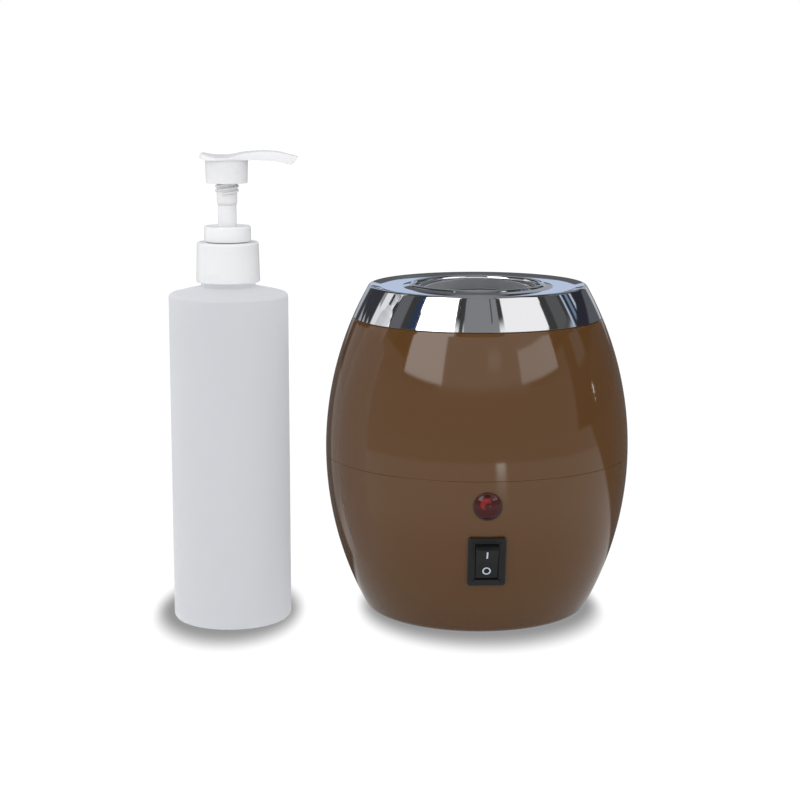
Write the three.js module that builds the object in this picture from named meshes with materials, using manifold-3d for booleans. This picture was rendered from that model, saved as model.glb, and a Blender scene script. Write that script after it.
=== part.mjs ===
// A massage oil warmer: a barrel-shaped body with a heated well, and the pump bottle it warms.
// Units are millimetres. +Z is up and -Y is the front.
// The origin is on the surface that the set stands on, under the middle of the set.
import * as THREE from 'three';
import { mergeVertices } from 'three/addons/utils/BufferGeometryUtils.js';
import Module from 'manifold-3d';

const wasm = await Module();
wasm.setup();

// Fits
const clearance = 0.3; // between pieces that seat on, or fit in, each other
const overrun = 1; // how far a cutter passes the face that it cuts
const bury = 0.6; // how far a moulded boss runs into the wall that carries it

// Warmer body
const bellyRadius = 63;
const bellyHeight = 68.5;
const topRadius = 44.74; // the body's side where it meets the crest's height
const bottomEdgeRadius = 45.37; // the body's side carried on to its underside
const groundGap = 1; // underside of the body above the surface
const seamHeight = 67; // where the two shells meet
const bodyHeight = 137.1; // crest of the chrome ring
const bezelHeight = 13.5; // chrome ring from its seat on the shell to its crest
const shellWall = 2.5;
const bottomRound = 4;
const lipWall = 1.5; // inner lip that lines the two shells up
const lipDepth = 3;

// Chrome ring
const bezelWall = 2;
const crestRound = 1.5;
const dishRadius = 40; // outer edge of the flat trough
const dishDrop = 0.9; // trough under the crest
const dishInnerRadius = 31.2;
const throatRadius = 25.7;
const throatLip = 1.3; // radius of the round inner lip
const throatLipRise = 0.5; // inner lip over the crest
const throatDepth = 5.4; // length of the throat wall under the crest

// Heated well
const wellRadius = 25.4;
const wellFloorHeight = 22;
const wellWall = 1.2;
const wellFloorWall = 1.5;
const wellFlangeRadius = 31;
const wellFlangeThickness = 1.2;
const deckThickness = 2.3; // upper shell's deck that carries the well
const heaterThickness = 3.6;
const heaterRise = 4; // heater's foot over the sleeve's
const heaterDrop = 19; // heater's top under the sleeve's, where the fuse lies
const heaterSplit = 3;
const sleeveThickness = 3;
const sleeveLow = 36;
const sleeveDrop = 23.6; // sleeve's top under the deck
const fuseRadius = 1.8;
const fuseLength = 11;
const fuseAzimuth = 150;
const leadPinRadius = 0.5;

// Base
const baseRadius = 42.5;
const baseThickness = 3;
const ledgeThickness = 2.5;
const ledgeInnerRadius = 35;
const footRadius = 5;
const footHeight = 2.2;
const footCircle = 34;
const footCount = 4;

// Well support under the well
const supportRadius = 24.5;
const supportWall = 2.5;
const supportFlangeRadius = 31;
const supportFlangeThickness = 2.2;
const supportDeckThickness = 2.3;
const windowWidth = 10;
const windowHeight = 8;
const rearWindowAzimuth = 210; // where the heater's wire goes out; the other window is at the front

// Thermostat
const thermostatRadius = 8;
const thermostatHeight = 6;
const thermostatBladeWidth = 4.8;
const thermostatBladeThickness = 0.8;
const thermostatBladeLength = 6;
const thermostatBladeSpread = 5;
const bracketWidth = 7;
const bracketThickness = 1;
const bracketFootLength = 7;

// Screws
const screwRadius = 1.2;
const screwHeadRadius = 2.6;
const screwHeadHeight = 1.5;
const pilotWall = 2; // boss wall round a pilot hole
const postCircle = 38;
const postRadius = 3.4;
const postJointDrop = 3; // seam down to the top of the lower shell's posts
const postScrewEngagement = 12;
const postFloor = 4; // material under the post joint that the screw head pulls on
const postCount = 3;
const baseScrewCircle = 38.8;
const baseScrewCount = 3;
const baseBossHeight = 5.7;
const supportScrewCircle = 27.8;
const supportScrewCount = 3;
const bezelScrewCircle = 36;
const bezelScrewCount = 3;

// Indicator lamp
const lampDrop = 9.8; // seam down to the lamp's middle
const lampRimRadius = 5.65;
const lampDomeRadius = 5.2;
const lampDomeHeight = 2.6;
const lampRimHeight = 0.6;
const lampBarrelRadius = 4.4;
const lampBarrelLength = 12;
const lampWall = 1;
const lampNutRadius = 6.5;
const lampNutThickness = 3;
const bulbRadius = 2.1;
const pocketDepth = 0.6; // flat seat cut in the curved shell under the lamp, gland and switch

// Rocker switch
const switchDrop = 23; // lamp's middle down to the switch's
const switchWidth = 15;
const switchLength = 21;
const switchFaceHeight = 1;
const switchBodyWidth = 12.6;
const switchBodyLength = 18.6;
const switchBodyDepth = 12;
const switchBackWall = 2.5;
const rockerWidth = 8.9;
const rockerLength = 15.4;
const rockerTravel = 24; // degrees from OFF to ON
const rockerPivotDepth = 1.5;
const rockerEndHeight = 2.4;
const rockerMiddleHeight = 1.1;
const rockerDepth = 3.4;
const rockerPinRadius = 1;
const rockerPinLength = 1.2;
const plungerWidth = 3.4;
const plungerDepth = 5.4;
const contactLength = 8;
const contactWidth = 3;
const contactThickness = 0.5;
const terminalWidth = 4.8;
const terminalThickness = 0.8;
const terminalReach = 20;
const terminalSpread = 3.7;

// Cord gland, its bore left open
const glandAzimuth = 107;
const glandHeight = 24.5;
const glandFlangeRadius = 6;
const glandFlangeHeight = 1.2;
const glandBarrelRadius = 4.3;
const glandBarrelLength = 13;
const glandBoreRadius = 2.6;
const glandNutRadius = 7;
const glandNutThickness = 3;

// Terminal block and the wires between the fixed pieces
const blockAzimuth = 140;
const blockCircle = 40.2;
const blockDepth = 7.6;
const blockWidth = 17;
const blockHeight = 9;
const blockSlotWidth = 1.2;
const wireRadius = 0.9;
const wireSag = 2; // degrees that the thermostat's wire keeps to the left of the front window
const glandBendFore = 17; // degrees that the live wire bends before and past the gland
const glandBendAft = 15;

// Bottle
const bottleAheadOfWarmer = 12;
const axisSpacing = 102.1; // across the set, from the bottle's axis to the warmer's
const bottleRadius = 24.2;
const bottleShoulderHeight = 135.5; // top of the round that ends the straight side
const bottleShoulderRound = 2.2;
const bottleShoulderBend = 60; // degrees that the round turns through before the shoulder's slope
const bottleBaseRound = 2.5;
const bottleWall = 1.6;
const neckRise = 2.5; // slope of the shoulder up to the neck
const neckRadius = 11;
const neckRootLength = 1.5;
const finishRadius = 10.4; // the neck inside the collar
const finishLength = 12.2;
const finishWall = 1.8;

// Pump
const collarBottomRadius = 12.9;
const collarTopRadius = 12.45;
const collarGap = 0.3;
const collarHeight = 16.1;
const collarTopWall = 1.3;
const collarBoreRadius = 11.2;
const gasketThickness = 1;
const housingRadius = 6.6;
const housingBore = 5.2;
const housingDepth = 54.9; // collar's top down to the floor that the spring stands on
const housingNeckLength = 2.6; // part of the housing over the collar
const housingFlangeThickness = 1;
const valveRadius = 1.9;
const valveSeatRadius = 1.2;
const valveSeatThickness = 1.9;
const socketLength = 9.6;
const socketWall = 1.1;
const dipRadius = 2.2;
const dipBore = 1.4;
const dipFloorGap = 3.6;
const guideRadius = 9.4;
const guideHeight = 6.2;
const guideDish = 0.8;
const stemRadius = 3.75;
const stemBore = 1.5;
const stemShows = 8.5; // stem between the guide and the head's stub
const stemFlangeRadius = 4.6;
const stemFlangeThickness = 1.4;
const sealThickness = 4;
const sealRise = 27.1; // seal over the housing's floor
const spigotRadius = 2.6;
const spigotLength = 10;
const springWire = 0.4;
const springRadius = 3.75;
const springTurns = 6;
const pumpStroke = 14.5; // the guide's pocket is deep enough for the stub's thread at the stroke's end

// Pump head
const headRise = 17.2; // skirt's foot over the guide
const skirtHeight = 9.3;
const skirtBottomRadius = 8.33;
const skirtTopRadius = 8.6;
const skirtWall = 1.1;
const stubRadius = 4.1;
const stubThreadRadius = 4.8;
const stubThreadStarts = 2;
const stubThreadLead = 3.6;
const stubThreadTurns = 1.1;
const stubThreadDrop = 0.3; // skirt's foot down to the middle of each ridge at its upper end
const stubThreadAngle = 283; // degrees from +X to the first ridge's upper end
const saddleDepth = 3.7; // crest of the spout over the skirt
const spoutReach = 28.8;
const spoutChannelRadius = 1.1;
// Side view of the saddle: shares of the spout's reach, then of the saddle's depth over the skirt.
const saddleTopShares = [[-0.366, 0.62], [-0.335, 0.77], [-0.22, 0.64], [-0.05, 0.55], [0.14, 0.69],
  [0.27, 0.88], [0.48, 1], [0.7, 0.9], [0.86, 0.61], [1, 0.3]];
const saddleUnderShares = [[0.92, -0.53], [0.88, -0.48], [0.8, -0.31], [0.7, -0.15], [0.59, -0.07], [0.45, 0],
  [-0.3, 0], [-0.366, 0.15]];
// Middle line of the channel in the spout, in the same shares.
const channelShares = [[0, 0.14], [0.12, 0.22], [0.3, 0.42], [0.5, 0.49], [0.7, 0.37], [0.85, 0.11],
  [1.05, -0.25]];
// Plan view of the saddle: shares of the reach, then of the skirt's top radius.
const saddlePlanShares = [[-0.366, 0.42], [-0.35, 0.6], [-0.27, 0.88], [-0.14, 1], [0, 1.03], [0.12, 0.94],
  [0.27, 0.74], [0.45, 0.55], [0.65, 0.475], [0.85, 0.42], [1.01, 0.37]];

// Roundness
const bodySegments = 40;
const ringSegments = 24;
const smallSegments = 12;
const screwSegments = 8;
const hexSides = 6;
const wireSides = 6;

// Places that follow from the sizes above
const arcThrough = (rise, fall) => (rise * rise + fall * fall) / (2 * fall);
const upperArc = arcThrough(bodyHeight - bellyHeight, bellyRadius - topRadius);
const lowerArc = arcThrough(bellyHeight - groundGap, bellyRadius - bottomEdgeRadius);
const sideArc = (height) => (height > bellyHeight ? upperArc : lowerArc);
const sideAngle = (height, inset = 0) => Math.asin((height - bellyHeight) / (sideArc(height) - inset));
const sideRadius = (height, inset = 0) =>
  bellyRadius - sideArc(height) + (sideArc(height) - inset) * Math.cos(sideAngle(height, inset));
const lampHeight = seamHeight - lampDrop;
const switchHeight = lampHeight - switchDrop;
const postJointHeight = seamHeight - postJointDrop;
const bezelSeatHeight = bodyHeight - bezelHeight;
const troughHeight = bodyHeight - dishDrop;
const throatFoot = bodyHeight - throatDepth;
const flangeTop = throatFoot - clearance;
const deckTop = flangeTop - wellFlangeThickness - clearance;
const deckUnder = deckTop - deckThickness;
const wellOuterRadius = wellRadius + wellWall;
const wellUnder = wellFloorHeight - wellFloorWall;
const sleeveLength = deckUnder - sleeveDrop - sleeveLow;
const heaterLow = sleeveLow + heaterRise;
const heaterLength = sleeveLength - heaterRise - heaterDrop;
const heaterRadius = wellOuterRadius + clearance;
const sleeveRadius = heaterRadius + heaterThickness + clearance;
const baseTop = groundGap + baseThickness;
const ledgeUnder = baseTop + clearance;
const ledgeTop = ledgeUnder + ledgeThickness;
const supportTop = wellUnder - clearance;
const supportFoot = baseTop + clearance;
const supportDeckUnder = supportTop - supportDeckThickness;
const pilotRadius = screwRadius + clearance;
const headRecessRadius = screwHeadRadius + clearance;
const frontReach = sideRadius(lampHeight) + lampDomeHeight * Math.cos(sideAngle(lampHeight));
const setWidth = bellyRadius + axisSpacing + bottleRadius;
const warmerX = setWidth / 2 - bellyRadius;
const warmerY = (frontReach - bellyRadius) / 2;
const bottleX = bottleRadius - setWidth / 2;
const bottleY = warmerY - bottleAheadOfWarmer;
const neckRootHeight = bottleShoulderHeight + neckRise;
const finishHeight = neckRootHeight + neckRootLength + finishLength;
const collarFoot = neckRootHeight + neckRootLength + collarGap;
const collarTop = collarFoot + collarHeight;
const housingFlangeTop = collarTop - collarTopWall - clearance;
const housingTop = collarTop + housingNeckLength;
const housingBottom = collarTop - housingDepth;
const sealHeight = housingBottom + sealRise;
const guideFoot = collarTop + clearance;
const guideTop = guideFoot + guideHeight;
const stemTopHeight = guideTop + stemShows;
const spigotTop = stemTopHeight + spigotLength;
const headBottomHeight = guideTop + headRise;
const saddleFoot = headBottomHeight + skirtHeight;
const stubThreadTop = headBottomHeight - stubThreadDrop;
const stubThreadWire = 0.75 * (stubThreadRadius - stubRadius); // half the height of a ridge
const stubThreadFoot = stubThreadTop - stubThreadTurns * stubThreadLead - stubThreadWire;

const radians = THREE.MathUtils.degToRad;
const at = (x, y) => new THREE.Vector2(x, y);

// Shape helpers

// Solid of revolution round Z from a closed outline of (radius, height) points.
function revolve(outline, segments) {
  const points = THREE.ShapeUtils.isClockWise(outline) ? outline.slice().reverse() : outline.slice();
  points.push(points[0].clone());
  const geometry = new THREE.LatheGeometry(points, segments);
  geometry.rotateX(Math.PI / 2);
  return geometry;
}

// Points on the body's side between two heights, inset from its surface.
function sideStretch(lowHeight, highHeight, inset, steps) {
  const points = [];
  for (let step = 0; step <= steps; step += 1) {
    const height = lowHeight + (highHeight - lowHeight) * step / steps;
    points.push(at(sideRadius(height, inset), height));
  }
  return points;
}

function arcPoints(x, y, radius, start, end, steps) {
  const points = [];
  for (let step = 0; step <= steps; step += 1) {
    const angle = start + (end - start) * step / steps;
    points.push(at(x + radius * Math.cos(angle), y + radius * Math.sin(angle)));
  }
  return points;
}

function ring(innerRadius, outerRadius, low, high, segments) {
  const outline = [at(innerRadius, low), at(outerRadius, low), at(outerRadius, high), at(innerRadius, high)];
  return revolve(outline, segments);
}

// Upright cylinder between two heights, its axis at (x, y).
function rod(radius, low, high, segments, x = 0, y = 0) {
  const geometry = new THREE.CylinderGeometry(radius, radius, high - low, segments);
  geometry.rotateX(Math.PI / 2);
  geometry.translate(x, y, (low + high) / 2);
  return geometry;
}

function block(width, depth, height, x = 0, y = 0, z = 0) {
  const geometry = new THREE.BoxGeometry(width, depth, height);
  geometry.translate(x, y, z);
  return geometry;
}

// Flat shape drawn in X and Z, given a thickness along Y, centred.
function plateAcross(points, thickness) {
  const shape = new THREE.Shape(points);
  const geometry = new THREE.ExtrudeGeometry(shape, { depth: thickness, bevelEnabled: false });
  geometry.rotateX(Math.PI / 2);
  geometry.translate(0, thickness / 2, 0);
  return geometry;
}

function tube(points, radius, sides, steps) {
  const corners = arcPoints(0, 0, radius, 0, 2 * Math.PI * (sides - 1) / sides, sides - 1);
  const extrudePath = new THREE.CatmullRomCurve3(points);
  return new THREE.ExtrudeGeometry(new THREE.Shape(corners), { steps, extrudePath, bevelEnabled: false });
}

function solid(geometry) {
  const bare = geometry.clone();
  bare.deleteAttribute('normal');
  bare.deleteAttribute('uv');
  const merged = mergeVertices(bare);
  const vertProperties = new Float32Array(merged.attributes.position.array);
  const triVerts = new Uint32Array(merged.index.array);
  return new wasm.Manifold(new wasm.Mesh({ numProp: 3, vertProperties, triVerts }));
}

function geometryOf(manifold) {
  const mesh = manifold.getMesh();
  const geometry = new THREE.BufferGeometry();
  geometry.setAttribute('position', new THREE.BufferAttribute(mesh.vertProperties, 3));
  geometry.setIndex(new THREE.BufferAttribute(mesh.triVerts, 1));
  geometry.computeVertexNormals();
  return geometry;
}

// Joins the added shapes to the first one, then cuts the cutters away.
function carve(first, added, cutters) {
  let result = solid(first);
  for (const shape of added) {
    result = result.add(solid(shape));
  }
  for (const cutter of cutters) {
    result = result.subtract(solid(cutter));
  }
  return geometryOf(result);
}

// Places on a circle round the warmer's axis: azimuth 0 is the front, 90 is the right.
function around(azimuth, radius, height = 0) {
  const angle = radians(azimuth);
  return new THREE.Vector3(radius * Math.sin(angle), -radius * Math.cos(angle), height);
}

function onCircle(count, firstAzimuth) {
  return Array.from({ length: count }, (_, index) => firstAzimuth + index * 360 / count);
}

// Frame on the body's side: X goes right, Y climbs the side and Z points out of it.
function sideFrame(azimuth, height) {
  const outward = new THREE.Matrix4().makeTranslation(around(azimuth, sideRadius(height), height));
  const turn = new THREE.Matrix4().makeRotationZ(radians(azimuth));
  const tilt = new THREE.Matrix4().makeRotationX(Math.PI / 2 - sideAngle(height));
  return outward.multiply(turn).multiply(tilt);
}

const placed = (geometry, frame) => geometry.clone().applyMatrix4(frame);

// Finishes
const finish = (color, roughness, metalness) => ({ color, roughness, metalness });
const brownPlastic = finish(0x664a34, 0.2, 0);
const chrome = finish(0xd8dde3, 0.06, 1);
const aluminium = finish(0xb4b7ba, 0.35, 1);
const steel = finish(0x9a9da0, 0.35, 1);
const brass = finish(0xb69a55, 0.35, 1);
const blackPlastic = finish(0x17181a, 0.4, 0);
const blackRubber = finish(0x202022, 0.8, 0);
const redLens = finish(0x7d0f16, 0.12, 0);
const milkyPlastic = finish(0xd9dbe0, 0.45, 0);
const whitePlastic = finish(0xf1f2f4, 0.25, 0);
const innerPlastic = finish(0xd2cdbf, 0.5, 0);
const heaterFoil = finish(0xa58f6c, 0.5, 0.3);
const felt = finish(0xe4e1d8, 0.95, 0);
const wireBlue = finish(0x2f5fa8, 0.5, 0);
const wireBrown = finish(0x6b4426, 0.5, 0);
const glass = finish(0xe8d9d2, 0.1, 0);

const set = new THREE.Group();
const warmer = new THREE.Group();
const bottleSet = new THREE.Group();
warmer.position.set(warmerX, warmerY, 0);
bottleSet.position.set(bottleX, bottleY, 0);
set.add(warmer, bottleSet);

function addPiece(parent, name, geometry, look) {
  const piece = new THREE.Mesh(geometry, new THREE.MeshStandardMaterial(look));
  piece.name = name;
  parent.add(piece);
  return piece;
}

// A group whose axes follow the body's side at one place.
function sideGroup(azimuth, height) {
  const group = new THREE.Group();
  sideFrame(azimuth, height).decompose(group.position, group.quaternion, group.scale);
  warmer.add(group);
  return group;
}

// Screw standing on its head's underside: the shank runs up from there, or down when it is turned over.
function screwShape(shankLength, pointsDown = false) {
  const outline = [
    at(0, -screwHeadHeight),
    at(screwHeadRadius, -screwHeadHeight),
    at(screwHeadRadius, 0),
    at(screwRadius, 0),
    at(screwRadius, shankLength - screwRadius),
    at(0, shankLength),
  ];
  const geometry = revolve(outline, screwSegments);
  if (pointsDown) {
    geometry.rotateX(Math.PI);
  }
  return geometry;
}

function addScrews(parent, prefix, azimuths, circle, height, shankLength, pointsDown = false) {
  azimuths.forEach((azimuth, index) => {
    const screw = addPiece(parent, `${prefix}_${index + 1}`, screwShape(shankLength, pointsDown), steel);
    screw.position.copy(around(azimuth, circle, height));
  });
}

// Openings that the front and side fittings pass through, cut from the lower shell
function fittingCutters() {
  const lampFrame = sideFrame(0, lampHeight);
  const switchFrame = sideFrame(0, switchHeight);
  const glandFrame = sideFrame(glandAzimuth, glandHeight);
  const outside = glandBarrelLength;
  return [
    placed(rod(lampRimRadius + clearance, -pocketDepth, outside, ringSegments), lampFrame),
    placed(rod(lampBarrelRadius + clearance, -outside, outside, ringSegments), lampFrame),
    placed(
      block(switchWidth + 2 * clearance, switchLength + 2 * clearance, outside + pocketDepth,
        0, 0, (outside - pocketDepth) / 2),
      switchFrame,
    ),
    placed(
      block(switchBodyWidth + 2 * clearance, switchBodyLength + 2 * clearance, 2 * outside),
      switchFrame,
    ),
    placed(rod(glandFlangeRadius + clearance, -pocketDepth, outside, smallSegments), glandFrame),
    placed(rod(glandBarrelRadius + clearance, -outside, outside, smallSegments), glandFrame),
  ];
}

const postAzimuths = onCircle(postCount, 60);
const baseScrewAzimuths = onCircle(baseScrewCount, 0);
const footAzimuths = onCircle(footCount, 45);
const supportScrewAzimuths = onCircle(supportScrewCount, 30);
const bezelScrewAzimuths = onCircle(bezelScrewCount, 0);

// Lower shell: the tub with its seat for the base plate, its posts and its fitting holes
function addLowerShell() {
  const roundCentre = groundGap + bottomRound;
  const roundEnd = sideAngle(roundCentre, bottomRound);
  const roundTop = roundCentre + bottomRound * Math.sin(roundEnd);
  const shellTop = seamHeight - clearance / 2;
  const outline = [
    at(baseRadius + clearance, groundGap),
    ...arcPoints(sideRadius(roundCentre, bottomRound), roundCentre, bottomRound, -Math.PI / 2, roundEnd, 4),
    ...sideStretch(roundTop, shellTop, 0, 7).slice(1),
    ...sideStretch(shellTop, ledgeTop, shellWall, 4),
    at(ledgeInnerRadius, ledgeTop),
    at(ledgeInnerRadius, ledgeUnder),
    at(baseRadius + clearance, ledgeUnder),
  ];
  const posts = postAzimuths.map((azimuth) => {
    const { x, y } = around(azimuth, postCircle);
    return rod(postRadius, ledgeUnder + bury, postJointHeight, smallSegments, x, y);
  });
  const bosses = baseScrewAzimuths.map((azimuth) => {
    const { x, y } = around(azimuth, baseScrewCircle);
    return rod(pilotRadius + pilotWall, ledgeTop - bury, ledgeTop + baseBossHeight, smallSegments, x, y);
  });
  const postHoles = postAzimuths.flatMap((azimuth) => {
    const { x, y } = around(azimuth, postCircle);
    return [
      rod(headRecessRadius, ledgeUnder - overrun, postJointHeight - postFloor, screwSegments, x, y),
      rod(pilotRadius, ledgeUnder, postJointHeight + overrun, screwSegments, x, y),
    ];
  });
  const bossHoles = baseScrewAzimuths.map((azimuth) => {
    const { x, y } = around(azimuth, baseScrewCircle);
    return rod(pilotRadius, ledgeUnder - overrun, ledgeTop + baseBossHeight - bury, screwSegments, x, y);
  });
  const cutters = [...postHoles, ...bossHoles, ...fittingCutters()];
  const shape = carve(revolve(outline, bodySegments), [...posts, ...bosses], cutters);
  addPiece(warmer, 'lower_shell', shape, brownPlastic);
}

// Upper shell: the dome with the deck that the well hangs from, its lining-up lip and its posts
function addUpperShell() {
  const shellFoot = seamHeight + clearance / 2;
  const spigotInset = bezelWall + clearance;
  const spigotInnerInset = spigotInset + shellWall;
  const lipInset = shellWall + clearance;
  const wallTop = bezelSeatHeight - shellWall;
  const outline = [
    ...sideStretch(shellFoot, bezelSeatHeight, 0, 7),
    ...sideStretch(bezelSeatHeight, deckTop, spigotInset, 1),
    at(wellOuterRadius + 2 * clearance, deckTop),
    at(wellOuterRadius + 2 * clearance, deckUnder),
    ...sideStretch(deckUnder, wallTop, spigotInnerInset, 1),
    ...sideStretch(wallTop, seamHeight + lipDepth + lipWall, shellWall, 4),
    at(sideRadius(seamHeight + lipDepth, lipInset + lipWall), seamHeight + lipDepth),
    at(sideRadius(seamHeight - lipDepth, lipInset + lipWall), seamHeight - lipDepth),
    at(sideRadius(seamHeight - lipDepth, lipInset), seamHeight - lipDepth),
    at(sideRadius(shellFoot, lipInset), shellFoot),
  ];
  const postFoot = postJointHeight + clearance;
  const posts = postAzimuths.map((azimuth) => {
    const { x, y } = around(azimuth, postCircle);
    return rod(postRadius, postFoot, deckUnder + bury, smallSegments, x, y);
  });
  const pilots = postAzimuths.map((azimuth) => {
    const { x, y } = around(azimuth, postCircle);
    return rod(pilotRadius, postFoot - overrun, postFoot + postScrewEngagement, screwSegments, x, y);
  });
  const bezelHoles = bezelScrewAzimuths.map((azimuth) => {
    const { x, y } = around(azimuth, bezelScrewCircle);
    return rod(pilotRadius, deckUnder - overrun, deckTop + overrun, screwSegments, x, y);
  });
  const shape = carve(revolve(outline, bodySegments), posts, [...pilots, ...bezelHoles]);
  addPiece(warmer, 'upper_shell', shape, brownPlastic);

  const headSeat = postJointHeight - postFloor - clearance;
  addScrews(warmer, 'shell_screw', postAzimuths, postCircle, headSeat, postFloor + postScrewEngagement);
}

// Chrome ring: the band round the top, the shallow dish, the round inner lip and the throat
function addChromeRing() {
  const crestCentre = bodyHeight - crestRound;
  const crestStart = sideAngle(crestCentre, crestRound);
  const crestFoot = crestCentre + crestRound * Math.sin(crestStart);
  const crestRadius = sideRadius(crestCentre, crestRound);
  const ringFoot = bezelSeatHeight + clearance / 2;
  const lipHeight = bodyHeight + throatLipRise;
  const lipCentre = throatRadius + throatLip;
  const underside = troughHeight - bezelWall;
  const throatInner = throatRadius + bezelWall;
  const outline = [
    ...sideStretch(ringFoot, crestFoot, 0, 2),
    ...arcPoints(crestRadius, crestCentre, crestRound, crestStart, Math.PI / 2, 4).slice(1),
    at(dishRadius, troughHeight),
    at(dishInnerRadius, troughHeight),
    at(lipCentre + throatLip, lipHeight - throatLip / 2),
    ...arcPoints(lipCentre, lipHeight - throatLip, throatLip, Math.PI / 3, Math.PI, 4),
    at(throatRadius, throatFoot),
    at(throatInner, throatFoot),
    at(throatInner, underside),
    ...sideStretch(underside, ringFoot, bezelWall, 1),
  ];
  const bossFoot = deckTop + clearance;
  const bosses = bezelScrewAzimuths.map((azimuth) => {
    const { x, y } = around(azimuth, bezelScrewCircle);
    return rod(pilotRadius + pilotWall / 2, bossFoot, underside + bury, smallSegments, x, y);
  });
  const pilots = bezelScrewAzimuths.map((azimuth) => {
    const { x, y } = around(azimuth, bezelScrewCircle);
    return rod(pilotRadius, bossFoot - overrun, underside, screwSegments, x, y);
  });
  const shape = carve(revolve(outline, bodySegments), bosses, pilots);
  addPiece(warmer, 'chrome_ring', shape, chrome);

  const screwReach = underside - deckUnder;
  addScrews(warmer, 'ring_screw', bezelScrewAzimuths, bezelScrewCircle, deckUnder - clearance, screwReach);
}

// Heated well: the aluminium cup, the band that heats it, the felt round that and the thermal fuse
function addWell() {
  const flangeUnder = flangeTop - wellFlangeThickness;
  const cup = [
    at(0, wellUnder),
    at(wellOuterRadius, wellUnder),
    at(wellOuterRadius, flangeUnder),
    at(wellFlangeRadius, flangeUnder),
    at(wellFlangeRadius, flangeTop),
    at(wellRadius, flangeTop),
    at(wellRadius, wellFloorHeight),
    at(0, wellFloorHeight),
  ];
  addPiece(warmer, 'heating_well', revolve(cup, bodySegments), aluminium);

  const outerRadius = heaterRadius + heaterThickness;
  const halfSplit = Math.asin(heaterSplit / 2 / heaterRadius);
  const backwards = Math.PI / 2;
  const band = new THREE.Shape();
  band.absarc(0, 0, outerRadius, backwards + halfSplit, backwards - halfSplit + 2 * Math.PI, false);
  band.absarc(0, 0, heaterRadius, backwards - halfSplit, backwards + halfSplit - 2 * Math.PI, true);
  const heater = new THREE.ExtrudeGeometry(band, {
    depth: heaterLength,
    curveSegments: ringSegments,
    bevelEnabled: false,
  });
  heater.translate(0, 0, heaterLow);
  addPiece(warmer, 'heater_band', heater, heaterFoil);

  const sleeve = ring(sleeveRadius, sleeveRadius + sleeveThickness, sleeveLow, sleeveLow + sleeveLength,
    ringSegments);
  addPiece(warmer, 'insulation_sleeve', sleeve, felt);

  const pin = 2 * fuseRadius;
  const fuseOutline = [
    at(0, 0),
    at(leadPinRadius, 0),
    at(leadPinRadius, pin),
    at(fuseRadius, pin),
    at(fuseRadius, pin + fuseLength),
    at(leadPinRadius, pin + fuseLength),
    at(leadPinRadius, 2 * pin + fuseLength),
    at(0, 2 * pin + fuseLength),
  ];
  const fuse = addPiece(warmer, 'thermal_fuse', revolve(fuseOutline, screwSegments), aluminium);
  fuse.position.copy(around(fuseAzimuth, heaterRadius + fuseRadius, heaterLow + heaterLength + clearance));
}

// Base plate with its rubber feet and screws
function addBase() {
  const recess = footHeight + clearance;
  const footCutters = footAzimuths.map((azimuth) => {
    const { x, y } = around(azimuth, footCircle);
    return rod(footRadius + clearance, groundGap - overrun, recess, ringSegments, x, y);
  });
  const headSeat = groundGap + screwHeadHeight + clearance;
  const screwCutters = baseScrewAzimuths.flatMap((azimuth) => {
    const { x, y } = around(azimuth, baseScrewCircle);
    return [
      rod(headRecessRadius, groundGap - overrun, headSeat, smallSegments, x, y),
      rod(pilotRadius, groundGap, baseTop + overrun, screwSegments, x, y),
    ];
  });
  const supportCutters = supportScrewAzimuths.map((azimuth) => {
    const { x, y } = around(azimuth, supportScrewCircle);
    return rod(pilotRadius, groundGap + bury, baseTop + overrun, screwSegments, x, y);
  });
  const disc = rod(baseRadius, groundGap, baseTop, bodySegments);
  const shape = carve(disc, [], [...footCutters, ...screwCutters, ...supportCutters]);
  addPiece(warmer, 'base_plate', shape, blackPlastic);

  footAzimuths.forEach((azimuth, index) => {
    const rim = footHeight / 5;
    const outline = [at(0, 0), at(footRadius - rim, 0), at(footRadius, rim), at(footRadius, footHeight),
      at(0, footHeight)];
    const foot = addPiece(warmer, `foot_${index + 1}`, revolve(outline, smallSegments), blackRubber);
    foot.position.copy(around(azimuth, footCircle));
  });
  const shank = ledgeTop + baseBossHeight - bury - headSeat - clearance;
  addScrews(warmer, 'base_screw', baseScrewAzimuths, baseScrewCircle, headSeat - clearance, shank);
}

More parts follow.
